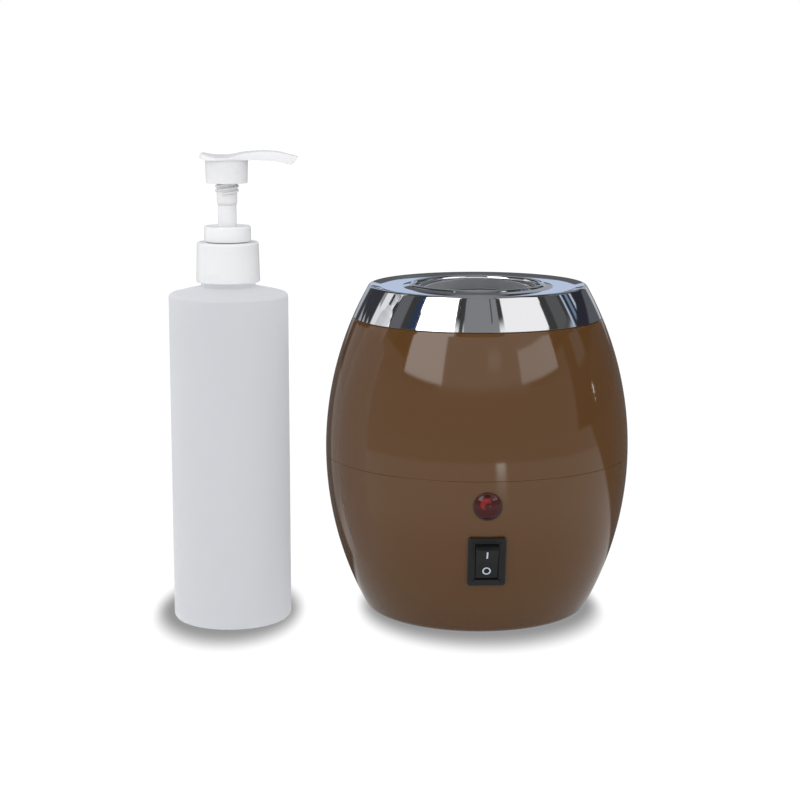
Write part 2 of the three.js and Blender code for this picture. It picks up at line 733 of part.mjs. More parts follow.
// Well support on the base plate, with the thermostat pressed up against the well
function addWellSupport() {
  const inner = supportRadius - supportWall;
  const hole = thermostatRadius + 2 * clearance;
  const flangeTopHeight = supportFoot + supportFlangeThickness;
  const outline = [
    at(inner, supportFoot),
    at(supportFlangeRadius, supportFoot),
    at(supportFlangeRadius, flangeTopHeight),
    at(supportRadius, flangeTopHeight),
    at(supportRadius, supportTop),
    at(hole, supportTop),
    at(hole, supportDeckUnder),
    at(inner, supportDeckUnder),
  ];
  const windowMiddle = flangeTopHeight + clearance + windowHeight / 2;
  const windows = [0, rearWindowAzimuth].map((azimuth) => {
    const cutter = block(windowWidth, supportRadius, windowHeight, 0, -supportRadius, windowMiddle);
    cutter.rotateZ(radians(azimuth));
    return cutter;
  });
  const screwHoles = supportScrewAzimuths.map((azimuth) => {
    const { x, y } = around(azimuth, supportScrewCircle);
    return rod(pilotRadius, supportFoot - overrun, flangeTopHeight + overrun, screwSegments, x, y);
  });
  const bracketScrewX = thermostatRadius + 2 * bracketThickness + bracketFootLength / 2;
  const bracketHoles = [-1, 1].map((side) =>
    rod(pilotRadius, supportDeckUnder - overrun, supportTop + overrun, screwSegments, side * bracketScrewX));
  const shape = carve(revolve(outline, ringSegments), [], [...windows, ...screwHoles, ...bracketHoles]);
  addPiece(warmer, 'well_support', shape, innerPlastic);
  const shank = supportFlangeThickness + baseThickness - bury;
  addScrews(warmer, 'support_screw', supportScrewAzimuths, supportScrewCircle, flangeTopHeight + clearance,
    shank, true);

  const thermostatFoot = supportTop - thermostatHeight;
  const can = rod(thermostatRadius, thermostatFoot, supportTop, ringSegments);
  const blades = [-1, 1].map((side) => block(
    thermostatBladeWidth,
    thermostatBladeThickness,
    thermostatBladeLength + bury,
    0,
    side * thermostatBladeSpread,
    thermostatFoot - (thermostatBladeLength - bury) / 2,
  ));
  addPiece(warmer, 'thermostat', carve(can, blades, []), steel);

  const bracketTop = thermostatFoot - clearance;
  const rise = supportDeckUnder - clearance;
  const arm = thermostatRadius + bracketThickness;
  const armOut = arm + bracketThickness;
  const footEnd = armOut + bracketFootLength;
  const strip = [
    at(-footEnd, rise), at(-footEnd, rise - bracketThickness), at(-armOut, rise - bracketThickness),
    at(-armOut, bracketTop - bracketThickness), at(armOut, bracketTop - bracketThickness),
    at(armOut, rise - bracketThickness), at(footEnd, rise - bracketThickness), at(footEnd, rise),
    at(arm, rise), at(arm, bracketTop), at(-arm, bracketTop), at(-arm, rise),
  ];
  const footHoles = [-1, 1].map((side) =>
    rod(pilotRadius, rise - bracketThickness - overrun, rise + overrun, screwSegments, side * bracketScrewX));
  addPiece(warmer, 'thermostat_bracket', carve(plateAcross(strip, bracketWidth), [], footHoles), steel);
  [-1, 1].forEach((side, index) => {
    const shankLength = bracketThickness + supportDeckThickness;
    const screw = addPiece(warmer, `bracket_screw_${index + 1}`, screwShape(shankLength), steel);
    screw.position.set(side * bracketScrewX, 0, rise - bracketThickness - clearance);
  });
}

// Indicator lamp: lens, holder, bulb and nut
function addLamp() {
  const lamp = sideGroup(0, lampHeight);
  const seat = clearance - pocketDepth;
  const lensFoot = -shellWall - pocketDepth;
  const bore = lampBarrelRadius - lampWall;
  const sphereRadius = (lampDomeRadius ** 2 + (lampDomeHeight - lampRimHeight) ** 2)
    / (2 * (lampDomeHeight - lampRimHeight));
  const sphereCentre = lampDomeHeight - sphereRadius;
  const domeStart = Math.acos(lampDomeRadius / sphereRadius);
  const lens = [
    ...arcPoints(0, sphereCentre, sphereRadius, Math.PI / 2, domeStart, 5),
    at(lampRimRadius, lampRimHeight / 2),
    at(lampRimRadius, seat),
    at(lampBarrelRadius, seat),
    at(lampBarrelRadius, lensFoot),
    at(bore, lensFoot),
    at(bore, seat),
    at(bore / 2, lampDomeHeight - lampWall - lampRimHeight / 2),
    at(0, lampDomeHeight - lampWall),
  ];
  addPiece(lamp, 'lamp_lens', revolve(lens, ringSegments), redLens);

  const holderTop = lensFoot - clearance;
  const holderBottom = -lampBarrelLength - pocketDepth;
  const holder = [
    at(0, holderBottom), at(lampBarrelRadius, holderBottom), at(lampBarrelRadius, holderTop),
    at(bore, holderTop), at(bore, holderBottom + 2 * lampWall), at(0, holderBottom + 2 * lampWall),
  ];
  addPiece(lamp, 'lamp_holder', revolve(holder, smallSegments), blackPlastic);

  const bulbFoot = holderBottom + 2 * lampWall + clearance;
  const bulbTop = seat - bulbRadius;
  const bulb = [at(0, bulbFoot), at(bulbRadius, bulbFoot),
    ...arcPoints(0, bulbTop, bulbRadius, 0, Math.PI / 2, 3)];
  addPiece(lamp, 'lamp_bulb', revolve(bulb, screwSegments), glass);

  const nutTop = -shellWall - clearance - pocketDepth;
  const nut = rod(lampNutRadius, nutTop - lampNutThickness, nutTop, hexSides);
  const nutBore = rod(lampBarrelRadius + clearance, -lampBarrelLength, 0, smallSegments);
  addPiece(lamp, 'lamp_nut', carve(nut, [], [nutBore]), steel);
}

// Rocker switch: frame, rocker on its two pins, moving contact and terminals
function addSwitch() {
  const place = sideGroup(0, switchHeight);
  const seat = clearance - pocketDepth;
  const bevel = switchFaceHeight / 4;
  const faceX = switchWidth / 2 - bevel;
  const faceY = switchLength / 2 - bevel;
  const face = new THREE.Shape([at(-faceX, -faceY), at(faceX, -faceY), at(faceX, faceY), at(-faceX, faceY)]);
  const bezel = new THREE.ExtrudeGeometry(face, {
    depth: switchFaceHeight - seat - bevel,
    bevelEnabled: true,
    bevelThickness: bevel,
    bevelSize: bevel,
    bevelSegments: 1,
  });
  bezel.translate(0, 0, seat);
  const body = block(switchBodyWidth, switchBodyLength, switchBodyDepth + switchFaceHeight / 2, 0, 0,
    (switchFaceHeight / 2 - switchBodyDepth) / 2);
  const cavityFloor = switchBackWall - switchBodyDepth;
  const cavityTop = switchFaceHeight + overrun;
  const cavityWidth = rockerWidth + 2 * clearance;
  const cavity = block(cavityWidth, rockerLength + 2 * clearance, cavityTop - cavityFloor, 0, 0,
    (cavityTop + cavityFloor) / 2);
  const pinSpan = rockerWidth + 2 * rockerPinLength;
  const pinHole = new THREE.CylinderGeometry(rockerPinRadius + clearance, rockerPinRadius + clearance,
    pinSpan + 2 * clearance, screwSegments);
  pinHole.rotateZ(Math.PI / 2);
  pinHole.translate(0, 0, -rockerPivotDepth);
  const slots = [-1, 1].map((side) => block(terminalWidth + 2 * clearance, terminalThickness + 2 * clearance,
    2 * switchBackWall, 0, side * terminalSpread, -switchBodyDepth + switchBackWall / 2));
  addPiece(place, 'switch_frame', carve(bezel, [body], [cavity, pinHole, ...slots]), blackPlastic);

  // The rocker's frame has its origin on the pins, and its ends are arcs round them.
  const endRadius = rockerLength / 2;
  const endAngle = Math.asin((rockerEndHeight + rockerPivotDepth) / endRadius);
  const rootAngle = Math.asin((rockerPivotDepth - rockerDepth) / endRadius);
  const profile = [
    at(0, rockerMiddleHeight + rockerPivotDepth),
    ...arcPoints(0, 0, endRadius, endAngle, rootAngle, 4),
    at(plungerWidth / 2, rockerPivotDepth - rockerDepth),
    at(plungerWidth / 2, rockerPivotDepth - plungerDepth),
    at(-plungerWidth / 2, rockerPivotDepth - plungerDepth),
    at(-plungerWidth / 2, rockerPivotDepth - rockerDepth),
    ...arcPoints(0, 0, endRadius, Math.PI - rootAngle, Math.PI - endAngle, 4),
  ];
  const keyShape = new THREE.Shape(profile);
  const key = new THREE.ExtrudeGeometry(keyShape, { depth: rockerWidth, bevelEnabled: false });
  key.translate(0, 0, -rockerWidth / 2);
  key.rotateZ(Math.PI / 2);
  key.rotateY(Math.PI / 2);
  const pins = new THREE.CylinderGeometry(rockerPinRadius, rockerPinRadius, pinSpan, screwSegments);
  pins.rotateZ(Math.PI / 2);
  const rocker = new THREE.Group();
  rocker.position.z = -rockerPivotDepth;
  rocker.rotation.x = radians(rockerTravel / 2);
  place.add(rocker);
  addPiece(rocker, 'switch_rocker', carve(key, [pins], []), blackPlastic);
  const contactTop = rockerPivotDepth - plungerDepth - clearance;
  const contactMiddle = contactTop - contactThickness / 2;
  const contact = block(contactWidth, contactLength, contactThickness, 0, 0, contactMiddle);
  addPiece(rocker, 'switch_contact', contact, brass);

  [-1, 1].forEach((side, index) => {
    const top = cavityFloor + terminalThickness;
    const blade = block(terminalWidth, terminalThickness, terminalReach + top, 0, side * terminalSpread,
      (top - terminalReach) / 2);
    addPiece(place, `switch_terminal_${index + 1}`, blade, brass);
  });
}

// Cord gland through the side wall, with its nut
function addCordGland() {
  const gland = sideGroup(glandAzimuth, glandHeight);
  const seat = clearance - pocketDepth;
  const round = glandFlangeHeight / 2;
  const outline = [
    at(glandBoreRadius, -glandBarrelLength), at(glandBarrelRadius, -glandBarrelLength),
    at(glandBarrelRadius, seat), at(glandFlangeRadius, seat),
    at(glandFlangeRadius, glandFlangeHeight - round), at(glandFlangeRadius - round, glandFlangeHeight),
    at(glandBoreRadius + round, glandFlangeHeight), at(glandBoreRadius, glandFlangeHeight - round),
  ];
  addPiece(gland, 'cord_gland', revolve(outline, smallSegments), blackPlastic);
  const nutTop = -shellWall - clearance - pocketDepth;
  const nut = rod(glandNutRadius, nutTop - glandNutThickness, nutTop, hexSides);
  const nutBore = rod(glandBarrelRadius + clearance, -glandBarrelLength, 0, smallSegments);
  addPiece(gland, 'gland_nut', carve(nut, [], [nutBore]), blackPlastic);
}

// Terminal block on the ledge of the lower shell, and the wires between the fixed pieces
function addWiring() {
  const blockFoot = ledgeTop + clearance;
  const blockTop = blockFoot + blockHeight;
  const body = block(blockWidth, blockDepth, blockHeight, 0, 0, blockHeight / 2);
  const spacing = blockWidth / 3;
  const slots = [-1, 0, 1].map((side) => block(blockSlotWidth, blockDepth / 2, blockHeight / 2,
    side * spacing, blockDepth / 2, blockHeight * 0.75));
  const piece = addPiece(warmer, 'terminal_block', carve(body, [], slots), innerPlastic);
  piece.position.copy(around(blockAzimuth, blockCircle, blockFoot));
  piece.rotation.z = radians(blockAzimuth);

  const poleTurn = THREE.MathUtils.radToDeg(Math.asin(spacing / blockCircle));
  const blockPole = (pole) => around(blockAzimuth + pole * poleTurn, blockCircle, blockTop + clearance);
  const behindTerminal = (side, x) => new THREE.Vector3(x, side * terminalSpread, -terminalReach - clearance)
    .applyMatrix4(sideFrame(0, switchHeight));
  const lampRear = (x) => new THREE.Vector3(x, 0, -lampBarrelLength - pocketDepth - clearance)
    .applyMatrix4(sideFrame(0, lampHeight));
  const deepen = (point, depth, rise = 0) => point.clone().add(new THREE.Vector3(0, depth, rise));
  const thermostatFoot = supportTop - thermostatHeight - thermostatBladeLength;
  const bladeEnd = (side) => new THREE.Vector3(0, side * thermostatBladeSpread, thermostatFoot - clearance);
  const channel = (bellyRadius + supportRadius) / 2; // free ring between the posts and the outer wall
  const climb = glandHeight + glandNutRadius + wireRadius * 7;
  const windowAxis = supportFoot + supportFlangeThickness + windowHeight / 2;
  const halfTerminal = terminalWidth / 4;
  const step = 4 * wireRadius;

  // Each wire keeps off the posts and the gland.
  const liveTerminal = behindTerminal(-1, 0);
  const live = [
    blockPole(-1), around(blockAzimuth - poleTurn, blockCircle, blockTop + step),
    around(glandAzimuth + glandBendAft, channel + step, climb),
    around(glandAzimuth - glandBendFore, channel + step, climb),
    around(postAzimuths[0], channel + step, climb), around(postAzimuths[0] / 2, channel, climb),
    deepen(liveTerminal, wireRadius * 2), liveTerminal,
  ];
  addPiece(warmer, 'live_wire', tube(live, wireRadius, wireSides, 28), wireBrown);

  const outsideSleeve = sleeveRadius + sleeveThickness + 2 * wireRadius;
  const outTerminal = behindTerminal(1, -halfTerminal);
  const windowOut = around(0, supportRadius + step, windowAxis);
  const switched = [
    outTerminal, deepen(outTerminal, wireRadius * 2), around(-wireSag, outsideSleeve, sleeveLow),
    around(-wireSag, outsideSleeve - wireRadius, sleeveLow - 2 * step), windowOut,
    around(0, supportRadius - supportWall - step, windowAxis - wireRadius),
    deepen(bladeEnd(-1), -wireRadius, -wireRadius * 2), bladeEnd(-1),
  ];
  addPiece(warmer, 'switched_wire', tube(switched, wireRadius, wireSides, 28), wireBrown);

  const heaterMiddle = heaterRadius + heaterThickness / 2;
  const atRearWindow = (radius, height) => around(rearWindowAzimuth, radius, height);
  const heaterWire = [
    bladeEnd(1), deepen(bladeEnd(1), wireRadius, -wireRadius * 2),
    atRearWindow(supportRadius - supportWall - step, windowAxis), atRearWindow(supportRadius, windowAxis),
    atRearWindow(heaterMiddle, (windowAxis + heaterLow) / 2),
    atRearWindow(heaterMiddle, heaterLow - clearance),
  ];
  addPiece(warmer, 'heater_wire', tube(heaterWire, wireRadius, wireSides, 20), wireBrown);

  const fuseTop = heaterLow + heaterLength + 2 * clearance + fuseLength + 4 * fuseRadius;
  const sleeveTop = sleeveLow + sleeveLength;
  const neutral = [
    around(fuseAzimuth, heaterRadius + fuseRadius, fuseTop),
    around(fuseAzimuth, heaterMiddle, sleeveTop + step),
    around(fuseAzimuth, sleeveRadius + wireRadius, sleeveTop + step * 1.5),
    around(fuseAzimuth, outsideSleeve, sleeveTop),
    around(fuseAzimuth, outsideSleeve, (sleeveTop + blockTop) / 2),
    around(blockAzimuth + poleTurn, blockCircle, blockTop + 2 * step), blockPole(1),
  ];
  addPiece(warmer, 'neutral_wire', tube(neutral, wireRadius, wireSides, 30), wireBlue);

  const lampFeed = behindTerminal(1, halfTerminal);
  const feed = [
    lampFeed, deepen(lampFeed, wireRadius * 2, wireRadius), deepen(lampRear(-bulbRadius), step, -step),
    deepen(lampRear(-bulbRadius), wireRadius * 2), lampRear(-bulbRadius),
  ];
  addPiece(warmer, 'lamp_wire_1', tube(feed, wireRadius, wireSides, 14), wireBrown);
  const lampReturn = [
    lampRear(bulbRadius), deepen(lampRear(bulbRadius), wireRadius * 2),
    around(postAzimuths[0] / 2, channel, lampHeight),
    around(postAzimuths[0], channel + step, lampHeight - step),
    around(glandAzimuth, channel + step, lampHeight - step),
    around(blockAzimuth - poleTurn, channel, climb),
    around(blockAzimuth, blockCircle, blockTop + step), blockPole(0),
  ];
  addPiece(warmer, 'lamp_wire_2', tube(lampReturn, wireRadius, wireSides, 28), wireBlue);
}

// Bottle: the frosted cylinder with its domed shoulder and short neck
function addBottle() {
  const shoulderCentre = bottleRadius - bottleShoulderRound;
  const neckTop = neckRootHeight + neckRootLength;
  const inner = bottleRadius - bottleWall;
  const neckBore = finishRadius - finishWall;
  const outline = [
    at(0, 0),
    ...arcPoints(bottleRadius - bottleBaseRound, bottleBaseRound, bottleBaseRound, -Math.PI / 2, 0, 3),
    ...arcPoints(shoulderCentre, bottleShoulderHeight - bottleShoulderRound, bottleShoulderRound,
      0, radians(bottleShoulderBend), 3),
    at(neckRadius, neckRootHeight),
    at(neckRadius, neckTop),
    at(finishRadius, neckTop),
    at(finishRadius, finishHeight),
    at(neckBore, finishHeight),
    at(neckBore, neckRootHeight - bottleWall),
    at(shoulderCentre - bottleWall, bottleShoulderHeight - 1.5 * bottleWall),
    at(inner, bottleShoulderHeight - bottleShoulderRound - bottleWall),
    at(inner, bottleBaseRound + bottleWall),
    at(inner - bottleBaseRound, bottleWall),
    at(0, bottleWall),
  ];
  addPiece(bottleSet, 'bottle', revolve(outline, bodySegments), milkyPlastic);
}

// Screw collar and the gasket that it presses on the neck
function addCollar() {
  const hole = housingRadius + clearance;
  const roofUnder = collarTop - collarTopWall;
  const edge = collarTopWall / 3;
  const outline = [
    at(collarBoreRadius, collarFoot), at(collarBottomRadius, collarFoot),
    at(collarTopRadius, collarTop - edge), at(collarTopRadius - edge, collarTop),
    at(hole, collarTop), at(hole, roofUnder), at(collarBoreRadius, roofUnder),
  ];
  addPiece(bottleSet, 'screw_collar', revolve(outline, bodySegments), whitePlastic);

  const gasketFoot = finishHeight + clearance;
  const gasket = ring(hole, finishRadius - clearance, gasketFoot, gasketFoot + gasketThickness, ringSegments);
  addPiece(bottleSet, 'neck_gasket', gasket, felt);
}

// Pump body: the cylinder in the neck, the guide over the collar, the foot valve and the dip tube
function addPumpBody() {
  const flangeUnder = housingFlangeTop - housingFlangeThickness;
  const chamberRadius = valveRadius + 2 * clearance;
  const seatTop = housingBottom - 2 * valveRadius - 3 * clearance;
  const seatUnder = seatTop - valveSeatThickness;
  const socketRadius = dipRadius + clearance;
  const socketOuter = socketRadius + socketWall;
  const outline = [
    at(socketRadius, seatUnder - socketLength), at(socketOuter, seatUnder - socketLength),
    at(socketOuter, seatUnder), at(housingRadius, seatTop),
    at(housingRadius, flangeUnder), at(finishRadius - clearance, flangeUnder),
    at(finishRadius - clearance, housingFlangeTop), at(housingRadius, housingFlangeTop),
    at(housingRadius, housingTop), at(housingBore, housingTop),
    at(housingBore, housingBottom), at(chamberRadius, housingBottom),
    at(chamberRadius, seatTop), at(valveSeatRadius, seatTop),
    at(valveSeatRadius, seatUnder), at(socketRadius, seatUnder),
  ];
  addPiece(bottleSet, 'pump_housing', revolve(outline, ringSegments), whitePlastic);

  const ball = new THREE.SphereGeometry(valveRadius, smallSegments, screwSegments);
  ball.rotateX(Math.PI / 2);
  const valve = addPiece(bottleSet, 'valve_ball', ball, steel);
  valve.position.z = seatTop + clearance + valveRadius;

  const tubeTop = seatUnder - clearance;
  const straw = ring(dipBore, dipRadius, dipFloorGap, tubeTop, smallSegments);
  addPiece(bottleSet, 'dip_tube', straw, milkyPlastic);

  const stemHole = stubRadius + clearance;
  const pocketFloor = stubThreadFoot - pumpStroke - clearance;
  const pocket = housingRadius + clearance;
  const web = housingTop + clearance;
  const threadPocket = stubThreadRadius + clearance;
  const edge = guideDish / 2;
  const guide = [
    at(pocket, guideFoot), at(guideRadius, guideFoot), at(guideRadius, guideTop - edge),
    at(guideRadius - edge, guideTop), at(guideRadius - guideDish, guideTop),
    at(threadPocket + guideDish, guideTop - guideDish), at(threadPocket, guideTop - guideDish),
    at(threadPocket, pocketFloor), at(stemHole, pocketFloor), at(stemHole, web), at(pocket, web),
  ];
  addPiece(bottleSet, 'stem_guide', revolve(guide, ringSegments), whitePlastic);
}

// Stem with its seal and return spring
function addStem() {
  const flangeTopHeight = sealHeight - clearance;
  const flangeUnder = flangeTopHeight - stemFlangeThickness;
  const tail = springRadius - springWire - 2 * clearance;
  const tailFoot = flangeUnder - sealThickness;
  const outline = [
    at(stemBore, tailFoot), at(tail, tailFoot), at(tail, flangeUnder),
    at(stemFlangeRadius, flangeUnder), at(stemFlangeRadius, flangeTopHeight),
    at(stemRadius, flangeTopHeight), at(stemRadius, stemTopHeight),
    at(spigotRadius, stemTopHeight), at(spigotRadius, spigotTop), at(stemBore, spigotTop),
  ];
  addPiece(bottleSet, 'pump_stem', revolve(outline, smallSegments), whitePlastic);

  const seal = ring(stemRadius + clearance, housingBore - clearance, sealHeight, sealHeight + sealThickness,
    smallSegments);
  addPiece(bottleSet, 'piston_seal', seal, innerPlastic);

  const springFoot = housingBottom + clearance + springWire;
  const springTop = flangeUnder - clearance - springWire;
  const stepsPerTurn = 10;
  const turnPoints = [];
  for (let step = 0; step <= springTurns * stepsPerTurn; step += 1) {
    const angle = 2 * Math.PI * step / stepsPerTurn;
    const height = springFoot + (springTop - springFoot) * step / (springTurns * stepsPerTurn);
    const across = at(springRadius * Math.cos(angle), springRadius * Math.sin(angle));
    turnPoints.push(new THREE.Vector3(across.x, across.y, height));
  }
  const spring = tube(turnPoints, springWire, 5, springTurns * stepsPerTurn);
  addPiece(bottleSet, 'return_spring', spring, steel);
}

// Pump head: skirt, threaded stub and the saddle that carries the spout
function addPumpHead() {
  const socketRadius = spigotRadius + clearance;
  const skirtRoof = saddleFoot - skirtWall;
  const stubFoot = stemTopHeight + clearance;
  const core = [
    at(socketRadius, stubFoot), at(stubRadius, stubFoot), at(stubRadius, skirtRoof),
    at(skirtTopRadius - skirtWall, skirtRoof), at(skirtBottomRadius - skirtWall, headBottomHeight),
    at(skirtBottomRadius, headBottomHeight), at(skirtTopRadius, saddleFoot + bury),
    at(socketRadius, saddleFoot + bury),
  ];
  const saddlePoint = ([reachShare, depthShare]) =>
    at(reachShare * spoutReach, saddleFoot + depthShare * saddleDepth);
  const topCurve = new THREE.SplineCurve(saddleTopShares.map(saddlePoint));
  const underside = saddleUnderShares.map(saddlePoint);
  const sideView = plateAcross([...topCurve.getPoints(18), ...underside], 4 * skirtTopRadius);
  const planPoints = saddlePlanShares.map(([reachShare, widthShare]) =>
    at(reachShare * spoutReach, widthShare * skirtTopRadius));
  const nearSide = new THREE.SplineCurve(planPoints).getPoints(16);
  const farSide = nearSide.map((point) => at(point.x, -point.y)).reverse();
  const plan = new THREE.ExtrudeGeometry(new THREE.Shape([...nearSide, ...farSide]), {
    depth: 2 * saddleDepth + 2 * skirtHeight,
    bevelEnabled: false,
  });
  plan.translate(0, 0, saddleFoot - skirtHeight);

  const channelPoints = channelShares.map(saddlePoint).map((point) => new THREE.Vector3(point.x, 0, point.y));
  const channel = tube(channelPoints, spoutChannelRadius, 8, 12);
  const bore = rod(stemBore, stubFoot - overrun, channelPoints[0].z, screwSegments);
  const socket = rod(socketRadius, stubFoot - overrun, spigotTop + clearance, smallSegments);

  const threads = onCircle(stubThreadStarts, stubThreadAngle).map((startAngle) => {
    const turnSteps = 12;
    const steps = Math.round(stubThreadTurns * turnSteps);
    const middleRadius = stubThreadRadius - stubThreadWire;
    const ridgePoints = [];
    for (let step = 0; step <= steps; step += 1) {
      const angle = radians(startAngle) - 2 * Math.PI * step / turnSteps;
      const height = stubThreadTop - stubThreadLead * step / turnSteps;
      const across = at(middleRadius * Math.cos(angle), middleRadius * Math.sin(angle));
      ridgePoints.push(new THREE.Vector3(across.x, across.y, height));
    }
    return tube(ridgePoints, stubThreadWire, 6, steps);
  });
  const saddle = geometryOf(solid(sideView).intersect(solid(plan)));
  const headShape = carve(saddle, [revolve(core, ringSegments), ...threads], [socket, bore, channel]);
  addPiece(bottleSet, 'pump_head', headShape, whitePlastic);
}

addLowerShell();
addUpperShell();
addChromeRing();
addWell();
addBase();
addWellSupport();
addLamp();
addSwitch();
addCordGland();
addWiring();
addBottle();
addCollar();
addPumpBody();
addStem();
addPumpHead();

export default set;
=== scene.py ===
import math
import bpy
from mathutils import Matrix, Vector


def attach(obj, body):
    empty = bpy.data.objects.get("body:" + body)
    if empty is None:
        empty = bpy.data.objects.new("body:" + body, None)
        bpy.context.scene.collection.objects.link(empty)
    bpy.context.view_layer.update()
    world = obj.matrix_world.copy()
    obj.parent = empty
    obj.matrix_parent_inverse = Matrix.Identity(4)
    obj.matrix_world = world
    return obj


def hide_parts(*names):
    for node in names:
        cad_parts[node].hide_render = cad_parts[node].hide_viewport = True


# Massage oil warmer with its pump bottle. Lengths in the dictionaries are millimetres and angles degrees.
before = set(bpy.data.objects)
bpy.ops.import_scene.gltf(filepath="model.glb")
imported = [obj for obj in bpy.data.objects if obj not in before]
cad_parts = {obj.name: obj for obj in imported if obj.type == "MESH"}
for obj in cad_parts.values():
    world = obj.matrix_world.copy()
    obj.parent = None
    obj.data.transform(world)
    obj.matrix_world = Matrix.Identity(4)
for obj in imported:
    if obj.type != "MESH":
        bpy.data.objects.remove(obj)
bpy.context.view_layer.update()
mm = 0.001
# points this close are one, and edges that turn by more than this angle are sharp
weldReach = 0.002 * mm
sharpAngle = math.radians(35)
warmerAxis = (31.65, 1.064)
bottleAxis = (-70.45, -10.936)
scene = bpy.context.scene
scene.view_settings.view_transform = "Standard"


def deselectAll():
    bpy.ops.object.select_all(action="DESELECT")


deselectAll()

cameraSettings = {"place": (-28.95, -817.5, 233.7), "target": (-0.45, 0, 88.6), "lens": 89.8, "clipStart": 10}


def faceTarget(item, place, target):
    item.rotation_euler = (target - place).to_track_quat("-Z", "Y").to_euler()


def addCamera(settings):
    place = Vector(settings["place"]) * mm
    bpy.ops.object.camera_add(location=place)
    camera = bpy.context.object
    faceTarget(camera, place, Vector(settings["target"]) * mm)
    camera.data.lens = settings["lens"]
    camera.data.clip_start = settings["clipStart"] * mm
    scene.camera = camera


addCamera(cameraSettings)
print("camera in place")

studioSettings = {
    # even light of the white tent, and the share of it that comes from the right rear
    "dayLight": 1.0,
    "rightShare": 0.78,
    "rightMiddle": 115,
    "rightEdge": (60, 25),
    # what polished pieces see of the bare room: elevation and tone
    "roomTones": [(-5.4, (0.50, 0.50, 0.50)), (16.2, (0.48, 0.48, 0.49)), (19.8, (0.05, 0.05, 0.05)),
                  (61.2, (0.04, 0.04, 0.04)), (72, (0.22, 0.22, 0.22)), (90, (0.30, 0.30, 0.30))],
    # name, place, size and power of each lamp
    "lamps": [("keyLamp", (-550, -750, 850), 600, 1.3), ("fillLamp", (800, -550, 550), 800, 0.4)],
    "lampTarget": (0, 0, 80),
}

# The cards that polished pieces see round them: first and last azimuth, first and last elevation,
# softness of the edge in degrees, tone. Azimuth 0 is the front and 90 the right.
studioCards = [
    # behind the set
    (-190, -154, -40, 60, 8, (0.42, 0.46, 0.52)),
    (156, 190, -40, 60, 8, (0.34, 0.36, 0.40)),
    (-190, -171, -8, 34, 2, (0.11, 0.115, 0.12)),
    (171, 190, -8, 34, 2, (0.11, 0.115, 0.12)),
    (-190, -171, 3.5, 10.5, 1.5, (0.50, 0.58, 0.76)),
    (171, 190, 3.5, 10.5, 1.5, (0.50, 0.58, 0.76)),
    # left
    (-148, -101, -40, 20.5, 1.2, (0.95, 0.95, 0.96)),
    (-168, -108, -80, 36, 18, (0.40, 0.40, 0.41)),
    (-152, -139, 8.5, 50, 0.7, (0.04, 0.04, 0.05)),
    (-140, -131, 11.3, 50, 0.7, (0.04, 0.04, 0.05)),
    (-132, -124.5, 14, 50, 0.7, (0.04, 0.04, 0.05)),
    (-124.5, -108, 15, 21.5, 0.7, (0.80, 0.81, 0.83)),
    (-160, -146, -40, 60, 4, (0.05, 0.05, 0.06)),
    (-101, -69, 14, 24, 1.5, (0.42, 0.42, 0.43)),
    (-121, -111, 20.5, 36, 1.2, (0.85, 0.86, 0.88)),
    (-100, -84, 22, 50, 2.5, (0.13, 0.13, 0.14)),
    # right
    (77, 152, -40, 26, 3, (0.10, 0.105, 0.12)),
    (103, 154, 12, 60, 2, (0.025, 0.025, 0.035)),
    (69, 79, 14, 24, 1.5, (0.40, 0.40, 0.41)),
    (88, 103, 13, 24, 2, (0.36, 0.40, 0.44)),
    (131, 160, 18, 50, 10, (0.20, 0.21, 0.23)),
    (100.0, 101.3, 4.6, 7.2, 0.4, (9, 9, 9)),
    (100.2, 101.2, 3.0, 4.0, 0.3, (5, 5, 5)),
    # front
    (-40, 42, 15, 44, 6, (0.95, 0.95, 0.95)),
    (3, 19, 23, 35, 5.0, (1.4, 1.4, 1.4)),
    (-24, -19, 38, 66, 1.0, (0.05, 0.05, 0.05)),
    (-19, 20, 38, 66, 1.0, (0.24, 0.24, 0.25)),
    (11.3, 12.9, 42, 66, 0.4, (0.04, 0.04, 0.04)),
    (-78, -69, 22, 60, 1.5, (0.03, 0.045, 0.09)),
    (-68.5, -32.5, 18.8, 41, 0.9, (3.6, 3.6, 3.6)),
    (-70, -28, 38, 62, 0.9, (3.6, 3.6, 3.6)),
    (32.5, 69, 18.5, 31, 0.9, (2.5, 2.5, 2.5)),
    (27.5, 72, 30, 39.5, 0.9, (1.02, 1.0, 1.0)),
    (24.5, 73, 38, 62, 0.9, (1.02, 1.0, 1.0)),
    (80, 97, 24, 52, 2.0, (0.10, 0.10, 0.10)),
    (100, 103, 20, 50, 0.8, (0.45, 0.55, 0.66)),
    (106, 111, 20, 50, 1.2, (0.16, 0.24, 0.34)),
    (113, 117, 20, 50, 0.8, (0.45, 0.52, 0.58)),
]


# Short ways to add nodes to a tree. A number goes on the socket itself.
def plug(tree, value, socket):
    if isinstance(value, bpy.types.NodeSocket):
        tree.links.new(value, socket)
    else:
        socket.default_value = value


def mathNode(tree, operation, *values):
    node = tree.nodes.new("ShaderNodeMath")
    node.operation = operation
    for value, socket in zip(values, node.inputs):
        plug(tree, value, socket)
    return node.outputs[0]


def times(tree, first, *others):
    for other in others:
        first = mathNode(tree, "MULTIPLY", first, other)
    return first


def plus(tree, first, second):
    return mathNode(tree, "ADD", first, second)


def minus(tree, first, second):
    return mathNode(tree, "SUBTRACT", first, second)


def divide(tree, first, second):
    return mathNode(tree, "DIVIDE", first, second)


def larger(tree, first, second):
    return mathNode(tree, "MAXIMUM", first, second)


def lengthOf(tree, first, second):
    return mathNode(tree, "SQRT", plus(tree, times(tree, first, first), times(tree, second, second)))


# In degrees, 0 at the front and 90 to the right
def azimuthOf(tree, across, along):
    return times(tree, mathNode(tree, "ARCTAN2", across, times(tree, along, -1)), 180 / math.pi)


